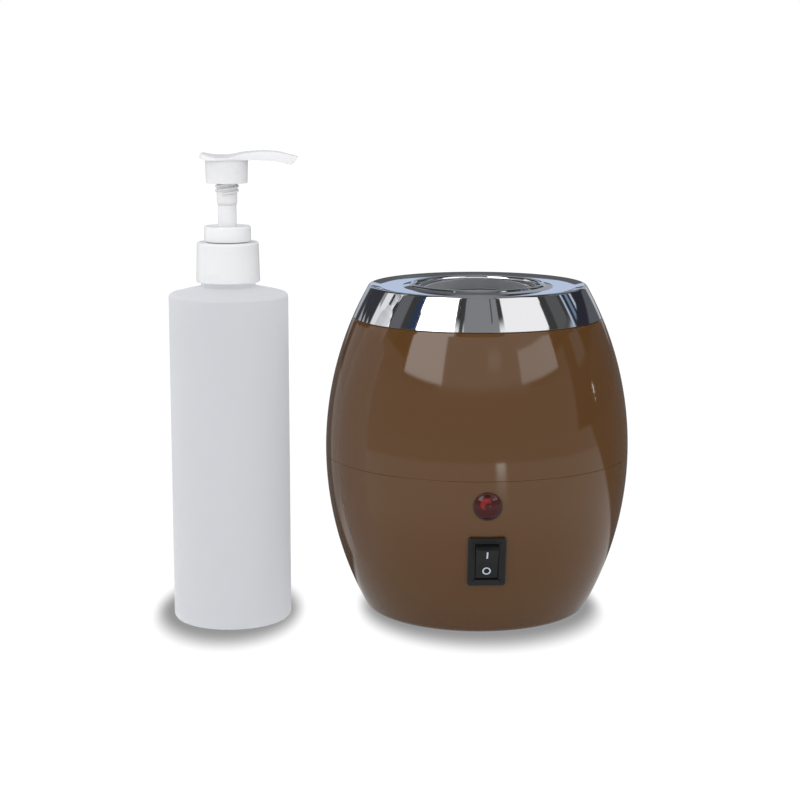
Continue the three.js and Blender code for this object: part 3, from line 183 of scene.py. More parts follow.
def ownPlace(tree):
    return tree.nodes.new("ShaderNodeTexCoord").outputs["Object"]


def separate(tree, vector):
    node = tree.nodes.new("ShaderNodeSeparateXYZ")
    plug(tree, vector, node.inputs[0])
    return node.outputs


# 0 at the first of the two values and 1 at the second
def ramp(tree, value, ends, unit=1):
    node = tree.nodes.new("ShaderNodeMapRange")
    node.interpolation_type = "SMOOTHSTEP"
    plug(tree, value, node.inputs["Value"])
    node.inputs["From Min"].default_value = ends[0] * unit
    node.inputs["From Max"].default_value = ends[1] * unit
    return node.outputs["Result"]


def blend(tree, share, low, high):
    node = tree.nodes.new("ShaderNodeMix")
    for value, socket in zip((share, low, high), (node.inputs[0], node.inputs[2], node.inputs[3])):
        plug(tree, value, socket)
    return node.outputs[0]


def mixNode(tree, kind, share, first, second):
    node = tree.nodes.new(kind)
    for value, socket in zip((share, first, second), node.inputs):
        plug(tree, value, socket)
    return node.outputs[0]


def mixTones(tree, share, first, second):
    return mixNode(tree, "ShaderNodeMixRGB", share, first, second)


# Camera rays, also those through clear pieces, then glossy rays
def rayKinds(tree):
    path = tree.nodes.new("ShaderNodeLightPath").outputs
    return larger(tree, path["Is Camera Ray"], path["Is Transmission Ray"]), path["Is Glossy Ray"]


def addStudio(settings, cards):
    world = bpy.data.worlds.new("studio")
    scene.world = world
    world.use_nodes = True
    tree = world.node_tree
    tree.nodes.clear()
    direction = separate(tree, tree.nodes.new("ShaderNodeTexCoord").outputs["Generated"])
    azimuth = azimuthOf(tree, direction["X"], direction["Y"])
    elevation = times(tree, mathNode(tree, "ARCSINE", direction["Z"]), 180 / math.pi)

    room = tree.nodes.new("ShaderNodeValToRGB")
    plug(tree, plus(tree, times(tree, elevation, 1 / 180), 0.5), room.inputs["Fac"])
    stops = room.color_ramp.elements
    for index, (lift, tone) in enumerate(settings["roomTones"]):
        place = lift / 180 + 0.5
        stop = stops[index] if index < 2 else stops.new(place)
        stop.position, stop.color = place, (*tone, 1)
    colour = room.outputs["Color"]
    for azimuthLow, azimuthHigh, liftLow, liftHigh, soft, tone in cards:
        inside = times(tree, ramp(tree, azimuth, (azimuthLow, azimuthLow + soft)),
                       ramp(tree, azimuth, (azimuthHigh, azimuthHigh - soft)),
                       ramp(tree, elevation, (liftLow, liftLow + soft)),
                       ramp(tree, elevation, (liftHigh, liftHigh - soft)))
        colour = mixTones(tree, inside, colour, (*tone, 1))

    def background(tone, strength=1):
        node = tree.nodes.new("ShaderNodeBackground")
        plug(tree, tone, node.inputs["Color"])
        plug(tree, strength, node.inputs["Strength"])
        return node.outputs[0]

    white = (1, 1, 1, 1)
    fromRight = ramp(tree, mathNode(tree, "ABSOLUTE", minus(tree, azimuth, settings["rightMiddle"])),
                     settings["rightEdge"])
    tent = background(white, blend(tree, fromRight, settings["dayLight"],
                                   settings["dayLight"] * settings["rightShare"]))
    direct, glossy = rayKinds(tree)
    lit = mixNode(tree, "ShaderNodeMixShader", glossy, tent, background(colour))
    shown = mixNode(tree, "ShaderNodeMixShader", direct, lit, background(white))
    plug(tree, shown, tree.nodes.new("ShaderNodeOutputWorld").inputs["Surface"])

    for name, spot, size, power in settings["lamps"]:
        place = Vector(spot) * mm
        bpy.ops.object.light_add(type="AREA", location=place)
        lamp = bpy.context.object
        lamp.name = name
        lamp.data.size = size * mm
        lamp.data.energy = power
        faceTarget(lamp, place, Vector(settings["lampTarget"]) * mm)
        lamp.visible_glossy = False
        lamp.visible_camera = False


addStudio(studioSettings, studioCards)
print("studio lit")


# Shared finishes, each a node group that works from the piece's own place
def startGroup(name, scales):
    group = bpy.data.node_groups.new(name, "ShaderNodeTree")
    entries = [("Place", "Vector"), ("Light Tone", "Color"), ("Dark Tone", "Color"), ("Gloss", "Float"),
               ("Gloss Change", "Float")] + [(scale, "Float") for scale in scales]
    results = [("Color", "Color"), ("Roughness", "Float"), ("Height", "Float")]
    for side, sockets in (("INPUT", entries), ("OUTPUT", results)):
        for label, kind in sockets:
            group.interface.new_socket(name=label, in_out=side, socket_type="NodeSocket" + kind)
    return group, group.nodes.new("NodeGroupInput").outputs, group.nodes.new("NodeGroupOutput").inputs


def endGroup(group, entry, leave, pattern, height):
    plug(group, mixTones(group, pattern, entry["Dark Tone"], entry["Light Tone"]), leave["Color"])
    change = times(group, minus(group, pattern, 0.5), entry["Gloss Change"])
    plug(group, plus(group, entry["Gloss"], change), leave["Roughness"])
    plug(group, height, leave["Height"])
    return group


def noiseNode(tree, vector, scale, detail):
    node = tree.nodes.new("ShaderNodeTexNoise")
    for value, label in ((vector, "Vector"), (scale, "Scale"), (detail, "Detail")):
        plug(tree, value, node.inputs[label])
    return node.outputs["Fac"]


def makeMouldedSkin():
    group, entry, leave = startGroup("mouldedSkin", ("Cloud Scale", "Grain Scale"))
    clouds = noiseNode(group, entry["Place"], entry["Cloud Scale"], 2)
    grain = noiseNode(group, entry["Place"], entry["Grain Scale"], 2)
    return endGroup(group, entry, leave, clouds, plus(group, grain, times(group, clouds, 0.5)))


# Fine lines round an upright axis at the origin of Place, as a lathe or polishing wheel leaves them
def makeTurnedLines(cloudScale=45, lineShare=0.6):
    group, entry, leave = startGroup("turnedLines", ("Line Scale",))
    place = separate(group, entry["Place"])
    run = group.nodes.new("ShaderNodeCombineXYZ")
    plug(group, lengthOf(group, place["X"], place["Y"]), run.inputs["X"])
    plug(group, place["Z"], run.inputs["Y"])
    lines = noiseNode(group, run.outputs[0], entry["Line Scale"], 2)
    clouds = noiseNode(group, entry["Place"], cloudScale, 3)
    return endGroup(group, entry, leave, blend(group, lineShare, clouds, lines), lines)


mouldedSkin = makeMouldedSkin()
turnedLines = makeTurnedLines()


def makeFinish(slot, light, gloss, glossChange, darkShare, scales, bumpDepth, axis=(0, 0), inputs=None):
    words = slot.split("_")
    material = bpy.data.materials.new(words[0] + "".join(word.capitalize() for word in words[1:]))
    material.use_nodes = True
    tree = material.node_tree
    centre = tree.nodes.new("ShaderNodeMapping")
    centre.inputs["Location"].default_value = (-axis[0] * mm, -axis[1] * mm, 0)
    plug(tree, ownPlace(tree), centre.inputs["Vector"])
    skin = tree.nodes.new("ShaderNodeGroup")
    skin.node_tree = mouldedSkin if len(scales) == 2 else turnedLines
    labels = ("Cloud Scale", "Grain Scale") if len(scales) == 2 else ("Line Scale",)
    for label, value in (("Place", centre.outputs["Vector"]), ("Light Tone", (*light, 1)),
                         ("Dark Tone", (*[value * darkShare for value in light], 1)), ("Gloss", gloss),
                         ("Gloss Change", glossChange), *zip(labels, scales)):
        plug(tree, value, skin.inputs[label])
    bump = tree.nodes.new("ShaderNodeBump")
    plug(tree, skin.outputs["Height"], bump.inputs["Height"])
    plug(tree, bumpDepth, bump.inputs["Distance"])
    plug(tree, 1, bump.inputs["Strength"])
    shader = tree.nodes["Principled BSDF"]
    for label, value in (("Base Color", skin.outputs["Color"]), ("Roughness", skin.outputs["Roughness"]),
                         ("Normal", bump.outputs["Normal"]), *(inputs or {}).items()):
        plug(tree, value, shader.inputs[label])
    return material


# By slot: light tone, roughness and its change, dark tone as a share of the light one, scales of
# the pattern (two for moulded skin, one for turned lines), depth of the bump in metres, axis, other inputs
finishSettings = {
    "brown_plastic": ((0.107, 0.048, 0.0140), 0.07, 0.02, 0.96, (25, 1400), 1e-6, (0, 0), {"IOR": 1.5}),
    "chrome": ((0.82, 0.83, 0.85), 0.045, 0.02, 0.97, (1800,), 6e-7, warmerAxis, {"Metallic": 1}),
    "aluminium": ((0.60, 0.605, 0.62), 0.38, 0.12, 0.82, (1500,), 1e-5, warmerAxis, {"Metallic": 0.5}),
    "heater_foil": ((0.45, 0.36, 0.25), 0.45, 0.15, 0.8, (700,), 3e-5, warmerAxis, {"Metallic": 1}),
    "steel": ((0.55, 0.56, 0.57), 0.32, 0.12, 0.85, (2500,), 1e-5, (0, 0), {"Metallic": 1}),
    "brass": ((0.62, 0.46, 0.20), 0.33, 0.12, 0.85, (2500,), 1e-5, (0, 0), {"Metallic": 1}),
    "felt": ((0.76, 0.73, 0.66), 0.95, 0.05, 0.75, (300, 2200), 2e-4),
    "black_plastic": ((0.0085, 0.009, 0.0105), 0.33, 0.06, 0.85, (60, 3000), 1e-5, (0, 0), {"IOR": 1.42}),
    "black_rubber": ((0.022, 0.022, 0.023), 0.72, 0.12, 0.7, (80, 2500), 3e-5),
    "inner_plastic": ((0.64, 0.60, 0.51), 0.5, 0.08, 0.93, (40, 1500), 1e-5),
    "bulb_glass": ((0.80, 0.68, 0.62), 0.1, 0.02, 0.95, (200, 3000), 5e-6),
    "brown_wire": ((0.15, 0.06, 0.025), 0.45, 0.08, 0.85, (90, 2500), 1e-5),
    "blue_wire": ((0.03, 0.11, 0.38), 0.45, 0.08, 0.85, (90, 2500), 1e-5),
    # its faint glow is painted light: an even emission that stands in for light that has gone all through the
    # milky wall
    "milky_plastic": ((0.40, 0.407, 0.420), 0.55, 0.05, 0.985, (40, 2600), 1e-5, bottleAxis, {
        "IOR": 1.42, "Specular IOR Level": 0.05, "Transmission Weight": 0.35, "Subsurface Weight": 0.9,
        "Subsurface Radius": (1, 1, 1), "Subsurface Scale": 0.004, "Emission Color": (0.94, 0.955, 1, 1),
        "Emission Strength": 0.28}),
    "white_plastic": ((0.88, 0.885, 0.90), 0.28, 0.04, 0.985, (60, 2200), 4e-6, bottleAxis, {
        "IOR": 1.45, "Subsurface Weight": 0.5, "Subsurface Radius": (1, 1, 1), "Subsurface Scale": 0.003}),
    "red_lens": ((0.057, 0.003, 0.003), 0.08, 0.03, 0.7, (120, 2600), 4e-6, (0, 0), {"IOR": 1.42}),
    "mark_paint": ((0.60, 0.68, 0.78), 0.5, 0.05, 0.9, (300, 4000), 4e-6),
}
finishes = {slot: makeFinish(slot, *values) for slot, values in finishSettings.items()}

# Discs on the lamp lens, which paint its highlight and its darker rim: place to the right and up from its
# middle, full to this radius, gone at this one
lensSettings = {
    "height": 57.9, "glow": (-0.9, 0.6, 1.6, 2.6), "glowCut": (0.3, -0.5, 1.3, 2.2), "clear": (0, 0, 4.2, 5.3),
    "paintedGlowTone": (0.22, 0.010, 0.012), "rimTone": (0.035, 0.008, 0.006),
}


# Dark towards its rim, with a painted highlight in its colour: the bright crescent that the lamp's reflector
# throws
def paintLensGlow(settings):
    tree = finishes["red_lens"].node_tree
    base = tree.nodes["Principled BSDF"].inputs["Base Color"]
    skin = base.links[0].from_socket
    place = separate(tree, ownPlace(tree))

    def disc(across, up, inner, outer):
        reach = lengthOf(tree, minus(tree, place["X"], (warmerAxis[0] + across) * mm),
                         minus(tree, place["Z"], (settings["height"] + up) * mm))
        return ramp(tree, reach, (outer, inner), mm)

    crescent = times(tree, disc(*settings["glow"]), minus(tree, 1, disc(*settings["glowCut"])))
    lit = mixTones(tree, crescent, skin, (*settings["paintedGlowTone"], 1))
    plug(tree, mixTones(tree, disc(*settings["clear"]), (*settings["rimTone"], 1), lit), base)


paintLensGlow(lensSettings)

# The frame's nodes by finish, named by how their names start; the rest are steel
nodeFinishes = {
    "brown_plastic": ("lower_shell", "upper_shell"),
    "chrome": ("chrome_ring",),
    "aluminium": ("heating_well", "thermal_fuse"),
    "heater_foil": ("heater_band",),
    "felt": ("insulation_sleeve", "neck_gasket"),
    "black_plastic": ("base_plate", "lamp_holder", "switch_frame", "switch_rocker", "cord_gland", "gland_nut"),
    "black_rubber": ("foot",),
    "inner_plastic": ("well_support", "terminal_block", "piston_seal"),
    "red_lens": ("lamp_lens",),
    "bulb_glass": ("lamp_bulb",),
    "brass": ("switch_contact", "switch_terminal"),
    "brown_wire": ("live_wire", "switched_wire", "heater_wire", "lamp_wire_1"),
    "blue_wire": ("neutral_wire", "lamp_wire_2"),
    "milky_plastic": ("bottle", "dip_tube"),
    "white_plastic": ("screw_collar", "pump_housing", "stem_guide", "pump_stem", "pump_head"),
}


def finishOf(node):
    for slot, starts in nodeFinishes.items():
        if node.startswith(starts):
            return finishes[slot]
    return finishes["steel"]


for node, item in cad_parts.items():
    if not item.material_slots:
        item.data.materials.append(None)
    for holder in item.material_slots:
        holder.material = finishOf(node)
print("finishes on the frame's nodes")


# Outline helpers. A corner is (radius, height) or (radius, height, rounding), and its rounding takes
# at most this share of the sides that meet there.
def roundCorners(corners, steps=6, closed=True, most=0.499):
    points = []
    count = len(corners)
    for index, corner in enumerate(corners):
        here = Vector(corner[:2])
        rounding = corner[2] if len(corner) > 2 else 0
        if not rounding or (not closed and index in (0, count - 1)):
            points.append(here)
            continue
        before = Vector(corners[index - 1][:2]) - here
        after = Vector(corners[(index + 1) % count][:2]) - here
        half = before.angle(after) / 2
        reach = min(rounding / math.tan(half), before.length * most, after.length * most)
        radius = reach * math.tan(half)
        start, end = here + before.normalized() * reach, here + after.normalized() * reach
        centre = here + (before.normalized() + after.normalized()).normalized() * radius / math.sin(half)
        spoke = start - centre
        sweep = spoke.angle_signed(end - centre)
        for step in range(steps + 1):
            angle = -sweep * step / steps
            turned = Vector((spoke.x * math.cos(angle) - spoke.y * math.sin(angle),
                             spoke.x * math.sin(angle) + spoke.y * math.cos(angle)))
            points.append(centre + turned)
    return [tuple(point) for point in points]


# The body's side is one long arc
bodySide = {"bellyRadius": 63, "bellyHeight": 68.5, "arc": 138}


def sideAngle(height, inset=0):
    return math.asin((height - bodySide["bellyHeight"]) / (bodySide["arc"] - inset))


def sideRadius(height, inset=0):
    radius, arc = bodySide["bellyRadius"], bodySide["arc"]
    return radius - arc + (arc - inset) * math.cos(sideAngle(height, inset))


def sideRun(low, high, inset, steps):
    heights = [low + (high - low) * step / steps for step in range(steps + 1)]
    return [(sideRadius(height, inset), height) for height in heights]


def arcRun(centre, radius, start, end, steps):
    angles = [start + (end - start) * step / steps for step in range(steps + 1)]
    return [(centre[0] + radius * math.cos(angle), centre[1] + radius * math.sin(angle)) for angle in angles]


# Several settings at once
def pick(settings, names):
    return [settings[name] for name in names.split()]


# Short ways to work on meshes
def keepOnly(piece):
    deselectAll()
    piece.select_set(True)
    bpy.context.view_layer.objects.active = piece


def settle():
    bpy.ops.object.transform_apply(location=True, rotation=True, scale=True)


def selectAll():
    bpy.ops.mesh.select_all(action="SELECT")


def editBy(kind):
    bpy.ops.object.mode_set(mode="EDIT")
    bpy.ops.mesh.select_mode(type=kind)


def startEdit(piece):
    keepOnly(piece)
    bpy.ops.object.mode_set(mode="EDIT")
    selectAll()


def endEdit():
    bpy.ops.object.mode_set(mode="OBJECT")


def pull(across, along, up):
    bpy.ops.mesh.extrude_region_move(TRANSFORM_OT_translate={"value": (across * mm, along * mm, up * mm)})


def shift(across, along, up):
    bpy.ops.transform.translate(value=(across * mm, along * mm, up * mm))


def weld():
    selectAll()
    bpy.ops.mesh.remove_doubles(threshold=weldReach)


def faceOut():
    selectAll()
    bpy.ops.mesh.normals_make_consistent(inside=False)
    endEdit()


def applyModifier(piece, kind, **settings):
    keepOnly(piece)
    modifier = piece.modifiers.new(kind.lower(), kind)
    for label, value in settings.items():
        setattr(modifier, label, value)
    bpy.ops.object.modifier_apply(modifier=modifier.name)


# Cuts a piece by another one, which goes
def cutWith(piece, cutter, operation):
    applyModifier(piece, "BOOLEAN", operation=operation, object=cutter, solver="EXACT")
    keepOnly(cutter)
    bpy.ops.object.delete()


# Pulls a single point along an outline that stands upright, and stays in edit mode
def traceOutline(name, outline, axis=(0, 0), closed=True):
    deselectAll()
    points = list(outline) + ([outline[0]] if closed else [])
    place = ((axis[0] + points[0][0]) * mm, axis[1] * mm, points[0][1] * mm)
    bpy.ops.mesh.primitive_plane_add(size=mm, location=place)
    piece = bpy.context.object
    piece.name = name
    editBy("VERT")
    selectAll()
    bpy.ops.mesh.merge(type="CENTER")
    for here, there in zip(points, points[1:]):
        pull(there[0] - here[0], 0, there[1] - here[1])
    return piece


# Spins an outline round the upright axis
def turnPiece(name, outline, axis=(0, 0), sides=160, closed=True):
    piece = traceOutline(name, outline, axis, closed)
    selectAll()
    bpy.ops.mesh.spin(steps=sides, angle=2 * math.pi, center=(axis[0] * mm, axis[1] * mm, 0), axis=(0, 0, 1))
    weld()
    faceOut()
    settle()
    return piece


# Fills an outline, at y = 0 and facing -Y
def drawOutline(name, outline):
    piece = traceOutline(name, outline)
    weld()
    bpy.ops.mesh.edge_face_add()
    endEdit()
    settle()
    return piece


def finishPiece(piece, slot, body, nodes=(), finish=None):
    keepOnly(piece)
    settle()
    bpy.ops.object.shade_smooth_by_angle(angle=sharpAngle)
    applyModifier(piece, "WEIGHTED_NORMAL", keep_sharp=True)
    piece.data.materials.clear()
    piece.data.materials.append(finishes[finish or slot])
    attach(piece, body)
    if nodes:
        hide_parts(*nodes)


# Puts a piece made at the origin, facing up, on the body's side
def seatOnSide(piece, azimuth, height):
    keepOnly(piece)
    turn = math.radians(azimuth)
    reach = sideRadius(height)
    foot = Vector((warmerAxis[0] + reach * math.sin(turn), warmerAxis[1] - reach * math.cos(turn), height))
    piece.location = foot * mm
    piece.rotation_euler = (math.pi / 2 - sideAngle(height), 0, turn)
    settle()


# Body shells
shellSettings = {
    "seam": 67, "seamGap": 0.06, "seamRound": 0.2, "foot": 1, "footRound": 4, "wall": 2.5,
    "baseHole": 42.8, "ledgeTop": 6.8, "ledgeUnder": 4.3, "ledgeHole": 35, "top": 123.6, "topEdge": 0.2,
    "deckTop": 129.6, "deckUnder": 127.3, "deckHole": 27.2, "deckInset": 2.3, "underInset": 4.8, "sides": 192,
    # holes behind the switch and the gland: azimuth, height, width, length
    "seats": [(0, 34.2, 12.8, 18.8), (107, 24.5, 8, 8)],
}


def addShells(settings):
    seam, seamGap, seamRound, wall, sides = pick(settings, "seam seamGap seamRound wall sides")
    foot, footRound, baseHole = pick(settings, "foot footRound baseHole")
    ledgeHole, ledgeTop, ledgeUnder = pick(settings, "ledgeHole ledgeTop ledgeUnder")
    seamLow, seamHigh = seam - seamGap / 2, seam + seamGap / 2
    footCentre = foot + footRound
    outline = [(baseHole, foot)]
    outline += arcRun((sideRadius(footCentre, footRound), footCentre), footRound, -math.pi / 2,
                      sideAngle(footCentre, footRound), 12)
    outline += sideRun(outline[-1][1], seamLow - seamRound, 0, 36)[1:]
    outline += roundCorners([outline[-1], (sideRadius(seamLow), seamLow, seamRound),
                             (sideRadius(seamLow, wall), seamLow)], 4, False)[1:]
    outline += sideRun(seamLow, ledgeTop, wall, 16)[1:]
    outline += [(ledgeHole, ledgeTop), (ledgeHole, ledgeUnder), (baseHole, ledgeUnder)]
    lower = turnPiece("lowerShell", outline, warmerAxis, sides)
    for azimuth, height, width, length in settings["seats"]:
        bpy.ops.mesh.primitive_cube_add(size=1, location=(0, 0, 0))
        cutter = bpy.context.object
        cutter.scale = (width * mm, length * mm, 4 * wall * mm)
        settle()
        seatOnSide(cutter, azimuth, height)
        cutWith(lower, cutter, "DIFFERENCE")
    finishPiece(lower, "brown_plastic", "warmer", ["lower_shell"])

    top, topEdge, deckTop, deckUnder = pick(settings, "top topEdge deckTop deckUnder")
    deckHole, deckInset, underInset = pick(settings, "deckHole deckInset underInset")
    seamEdge = seamHigh + seamRound
    outline = roundCorners([(sideRadius(seamHigh, wall), seamHigh), (sideRadius(seamHigh), seamHigh, seamRound),
                            (sideRadius(seamEdge), seamEdge)], 4, False)
    outline += sideRun(outline[-1][1], top - topEdge, 0, 40)[1:]
    outline += [(sideRadius(top) - topEdge, top), (sideRadius(top, deckInset), top),
                (sideRadius(deckTop, deckInset), deckTop), (deckHole, deckTop), (deckHole, deckUnder),
                (sideRadius(deckUnder, underInset), deckUnder)]
    outline += sideRun(top - wall, seamHigh, wall, 16)[:-1]
    upper = turnPiece("upperShell", outline, warmerAxis, sides)
    finishPiece(upper, "brown_plastic", "warmer", ["upper_shell"])


addShells(shellSettings)
print("body shells turned")

# Chrome ring with its dish, inner lip and throat
ringSettings = {
    "foot": 123.75, "footRound": 0.2, "crest": 137.1, "crestRound": 1.5, "wall": 2,
    "dishRadius": 40, "dishInner": 31.2, "trough": 136.2, "throat": 25.7, "lip": 1.3, "lipTop": 137.6,
    "lipStart": 24, "lipJoin": (0.92, 0.4), "throatFoot": 131.7, "sides": 192,
}


def addChromeRing(settings):
    foot, footRound, wall, crest, crestRound = pick(settings, "foot footRound wall crest crestRound")
    trough, throat, throatFoot, lip = pick(settings, "trough throat throatFoot lip")
    crestCentre = crest - crestRound
    start = sideAngle(crestCentre, crestRound)
    outline = [(sideRadius(foot) - footRound, foot)]
    outline += sideRun(foot + footRound, crestCentre + crestRound * math.sin(start), 0, 12)
    outline += arcRun((sideRadius(crestCentre, crestRound), crestCentre), crestRound,
                      start, math.pi / 2, 12)[1:]
    lipCentre, lipHeight = throat + lip, settings["lipTop"] - lip
    joinOut, joinUp = settings["lipJoin"]
    outline += roundCorners([outline[-1], (settings["dishRadius"], trough, 6),
                             (settings["dishInner"], trough, 4),
                             (lipCentre + lip * joinOut, lipHeight + lip * joinUp)], 6, False)[1:]
    outline += arcRun((lipCentre, lipHeight), lip, math.radians(settings["lipStart"]), math.pi, 10)
    under = trough - wall
    outline += [(throat, throatFoot), (throat + wall, throatFoot), (throat + wall, under),
                (sideRadius(under, wall), under), (sideRadius(foot, wall), foot)]
    ring = turnPiece("chromeRing", outline, warmerAxis, settings["sides"])
    finishPiece(ring, "chrome", "warmer", ["chrome_ring"])


addChromeRing(ringSettings)

wellSettings = {"radius": 25.4, "floor": 22, "wall": 1.2, "floorWall": 1.5, "flange": 31, "flangeTop": 131.4,
                "flangeWall": 1.2, "outerRound": 3, "innerRound": 1.5, "rimRound": 0.4, "sides": 128}


def addWell(settings):
    radius, floor, flange, top = pick(settings, "radius floor flange flangeTop")
    outer = radius + settings["wall"]
    under = top - settings["flangeWall"]
    base = floor - settings["floorWall"]
    corners = [(0, base), (outer, base, settings["outerRound"]), (outer, under), (flange, under), (flange, top),
               (radius, top, settings["rimRound"]), (radius, floor, settings["innerRound"]), (0, floor)]
    well = turnPiece("heatingWell", roundCorners(corners, 5, False), warmerAxis, settings["sides"], False)
    finishPiece(well, "aluminium", "warmer", ["heating_well"])


addWell(wellSettings)
print("chrome ring and well turned")

# Indicator lamp, domed in front and hollow behind
lampSettings = {"height": 57.2, "rim": 5.65, "dome": 5.2, "domeHeight": 2.58, "rimHeight": 0.6, "rimFall": 0.1,
                "rimRound": 0.2, "rimUnder": -0.3, "barrel": 4.4, "barrelDepth": 3.1, "bore": 3.4,
                "hollow": [(1.7, 1.3), (0, 1.6)], "sides": 64}


def addLamp(settings):
    dome, domeHeight, barrel, depth, bore = pick(settings, "dome domeHeight barrel barrelDepth bore")
    rim, rimHeight, rimFall, rimRound, under = pick(settings, "rim rimHeight rimFall rimRound rimUnder")
    rise = domeHeight - rimHeight
    sphere = (dome ** 2 + rise ** 2) / (2 * rise)
    outline = arcRun((0, domeHeight - sphere), sphere, math.pi / 2, math.acos(dome / sphere), 12)
    outline[0] = (0, domeHeight)
    outline += roundCorners([outline[-1], (rim, rimHeight - rimFall, rimRound), (rim, under), (barrel, under)],
                            3, False)[1:]
    outline += [(barrel, -depth), (bore, -depth), (bore, under)] + settings["hollow"]
    lens = turnPiece("lampLens", outline, (0, 0), settings["sides"], False)
    seatOnSide(lens, 0, settings["height"])
    finishPiece(lens, "red_lens", "warmer", ["lamp_lens"])


addLamp(lampSettings)
print("lamp seated")

# Bottle with its domed shoulder
bottleSettings = {
    "radius": 24.2, "baseRing": 18.2, "baseRise": 0.5, "shoulder": 134.57, "wall": 1.6, "neckRoot": 138,
    "neck": 11, "neckTop": 139.5, "finish": 10.4, "finishTop": 151.7, "bore": 8.6, "sides": 160,
    # the shoulder's corners: in from the side, up from its start, rounding
    "shoulderOutside": [(0, 0, 2.2), (1.3, 0.76, 2.5), (7.6, 2.3, 10)],
    "shoulderInside": [(3.4, -1.6, 1.5), (1.6, -2.9, 1)],
}


def addBottle(settings):
    radius, ring, rise, shoulder, wall = pick(settings, "radius baseRing baseRise shoulder wall")
    neck, root, neckTop, bore, finish, finishTop = pick(settings, "neck neckRoot neckTop bore finish finishTop")
    floor = wall + rise
    outside, inside = [[(radius - inward, shoulder + up, rounding) for inward, up, rounding in settings[label]]
                       for label in ("shoulderOutside", "shoulderInside")]
    corners = [(0, rise), (ring, rise, 2), (ring + 1, 0, 0.6), (radius, 0, 2.5)] + outside
    corners += [(neck, root, 0.7), (neck, neckTop, 0.15), (finish, neckTop), (finish, finishTop, 0.4),
                (bore, finishTop, 0.4), (bore, root - wall, 1)]
    corners += inside + [(radius - wall, floor, 2), (0, floor)]
    bottle = turnPiece("bottle", roundCorners(corners, 8, False), bottleAxis, settings["sides"], False)
    finishPiece(bottle, "milky_plastic", "bottle", ["bottle"])


addBottle(bottleSettings)

# Screw collar and stem guide
collarSettings = {"foot": 139.8, "top": 155.9, "bottomRadius": 12.9, "topRadius": 12.45, "bore": 11.2,
                  "hole": 6.9, "roof": 1.3, "sides": 144}
guideSettings = {"foot": 156.2, "top": 162.4, "radius": 9.4, "hole": 4.4, "threadPocket": 5.1,
                 "pocketFloor": 160.02, "pocket": 6.9, "web": 158.8, "dish": (8.0, 6.8),
                 "dishDepths": (0.75, 0.8), "sides": 112}


def addCollar(settings):
    foot, top, bore, hole = pick(settings, "foot top bore hole")
    roof = top - settings["roof"]
    corners = [(bore, foot, 0.2), (settings["bottomRadius"], foot, 0.6), (settings["topRadius"], top, 0.8),
               (hole, top, 0.1), (hole, roof), (bore, roof)]
    collar = turnPiece("screwCollar", roundCorners(corners, 5), bottleAxis, settings["sides"])
    finishPiece(collar, "white_plastic", "collar", ["screw_collar"])


def addGuide(settings):
    foot, top, radius, hole, web = pick(settings, "foot top radius hole web")
    pocket, threadPocket, pocketFloor = pick(settings, "pocket threadPocket pocketFloor")
    dish, depths = pick(settings, "dish dishDepths")
    corners = [(pocket, foot), (radius, foot, 0.2), (radius, top, 1.0), (dish[0], top, 0.35),
               (dish[1], top - depths[0], 1.2), (threadPocket, top - depths[1], 0.15),
               (threadPocket, pocketFloor), (hole, pocketFloor), (hole, web), (pocket, web)]
    guide = turnPiece("stemGuide", roundCorners(corners, 5), bottleAxis, settings["sides"])
    finishPiece(guide, "white_plastic", "pump", ["stem_guide"])


addCollar(collarSettings)
addGuide(guideSettings)
print("bottle, collar and guide turned")

# Pump stem and head
stemSettings = {"radius": 3.75, "bore": 1.5, "top": 170.9, "flange": 4.6, "flangeTop": 127.8,
                "flangeUnder": 126.4, "tail": 2.75, "tailFoot": 122.4, "spigot": 2.6, "spigotTop": 180.9,
                "sides": 64}
headSettings = {
    "stubFoot": 170.95, "stub": 4.1, "stubTaper": (0.35, 1), "skirtFoot": 179.6, "skirtTop": 188.9,
    "skirtLow": 8.33, "skirtHigh": 8.6, "skirtWall": 1.1, "socket": 2.9, "hub": 5, "hubRise": 0.6, "sides": 112,
    "threadTop": 179.3, "threadLead": 3.6, "threadTurns": 1.1, "threadReach": 0.525, "threadOuter": 4.8,
    "threadAngle": 283, "threadStarts": 2,
    # side view of the saddle: place along the spout, height, rounding
    "sideView": [(-10.5, 189.5, 0.4), (-10.5, 191.5, 0.5), (-9.4, 191.85, 1), (-5.6, 191.02, 9),
                 (0.6, 190.88, 10), (7.4, 192.15, 16), (13.8, 192.66, 24), (20.6, 192.25, 18),
                 (24.6, 191.2, 20), (28.8, 190.0, 0.25), (26.5, 186.95, 0.3), (24.7, 187.15, 3),
                 (20.3, 188.4, 8), (13, 188.84, 20), (8.4, 188.9, 4), (-8.6, 188.9, 1)],
    # plan view: place along the spout, half width, rounding
    "plan": [(-10.5, 4.3, 1.6), (-8.9, 7.4, 3), (-4.8, 8.75, 6), (0.8, 9.0, 6), (6.2, 7.2, 14),
             (12.4, 4.75, 18), (18.7, 4.1, 24), (28.9, 3.2)],
    # how far out the crown is pulled, and the heights over which its points belong to it:
    # between its two ends, behind them and in front
    "reaches": (1.5, 3, 4.5, 6, 7.5, 9, 10.5), "crownEnds": (-10.1, 28.5), "crownLows": (190.1, 189.9, 189.6),
    "crownRadius": 32.5, "planFoot": 184, "planRise": 12, "edgeRound": 0.55, "underRound": 0.12, "slack": 0.1,
    # the hole in the spout: radius, length, place and tilt
    "channel": (1.1, 7, (27, 0, 188.65), 103),
}


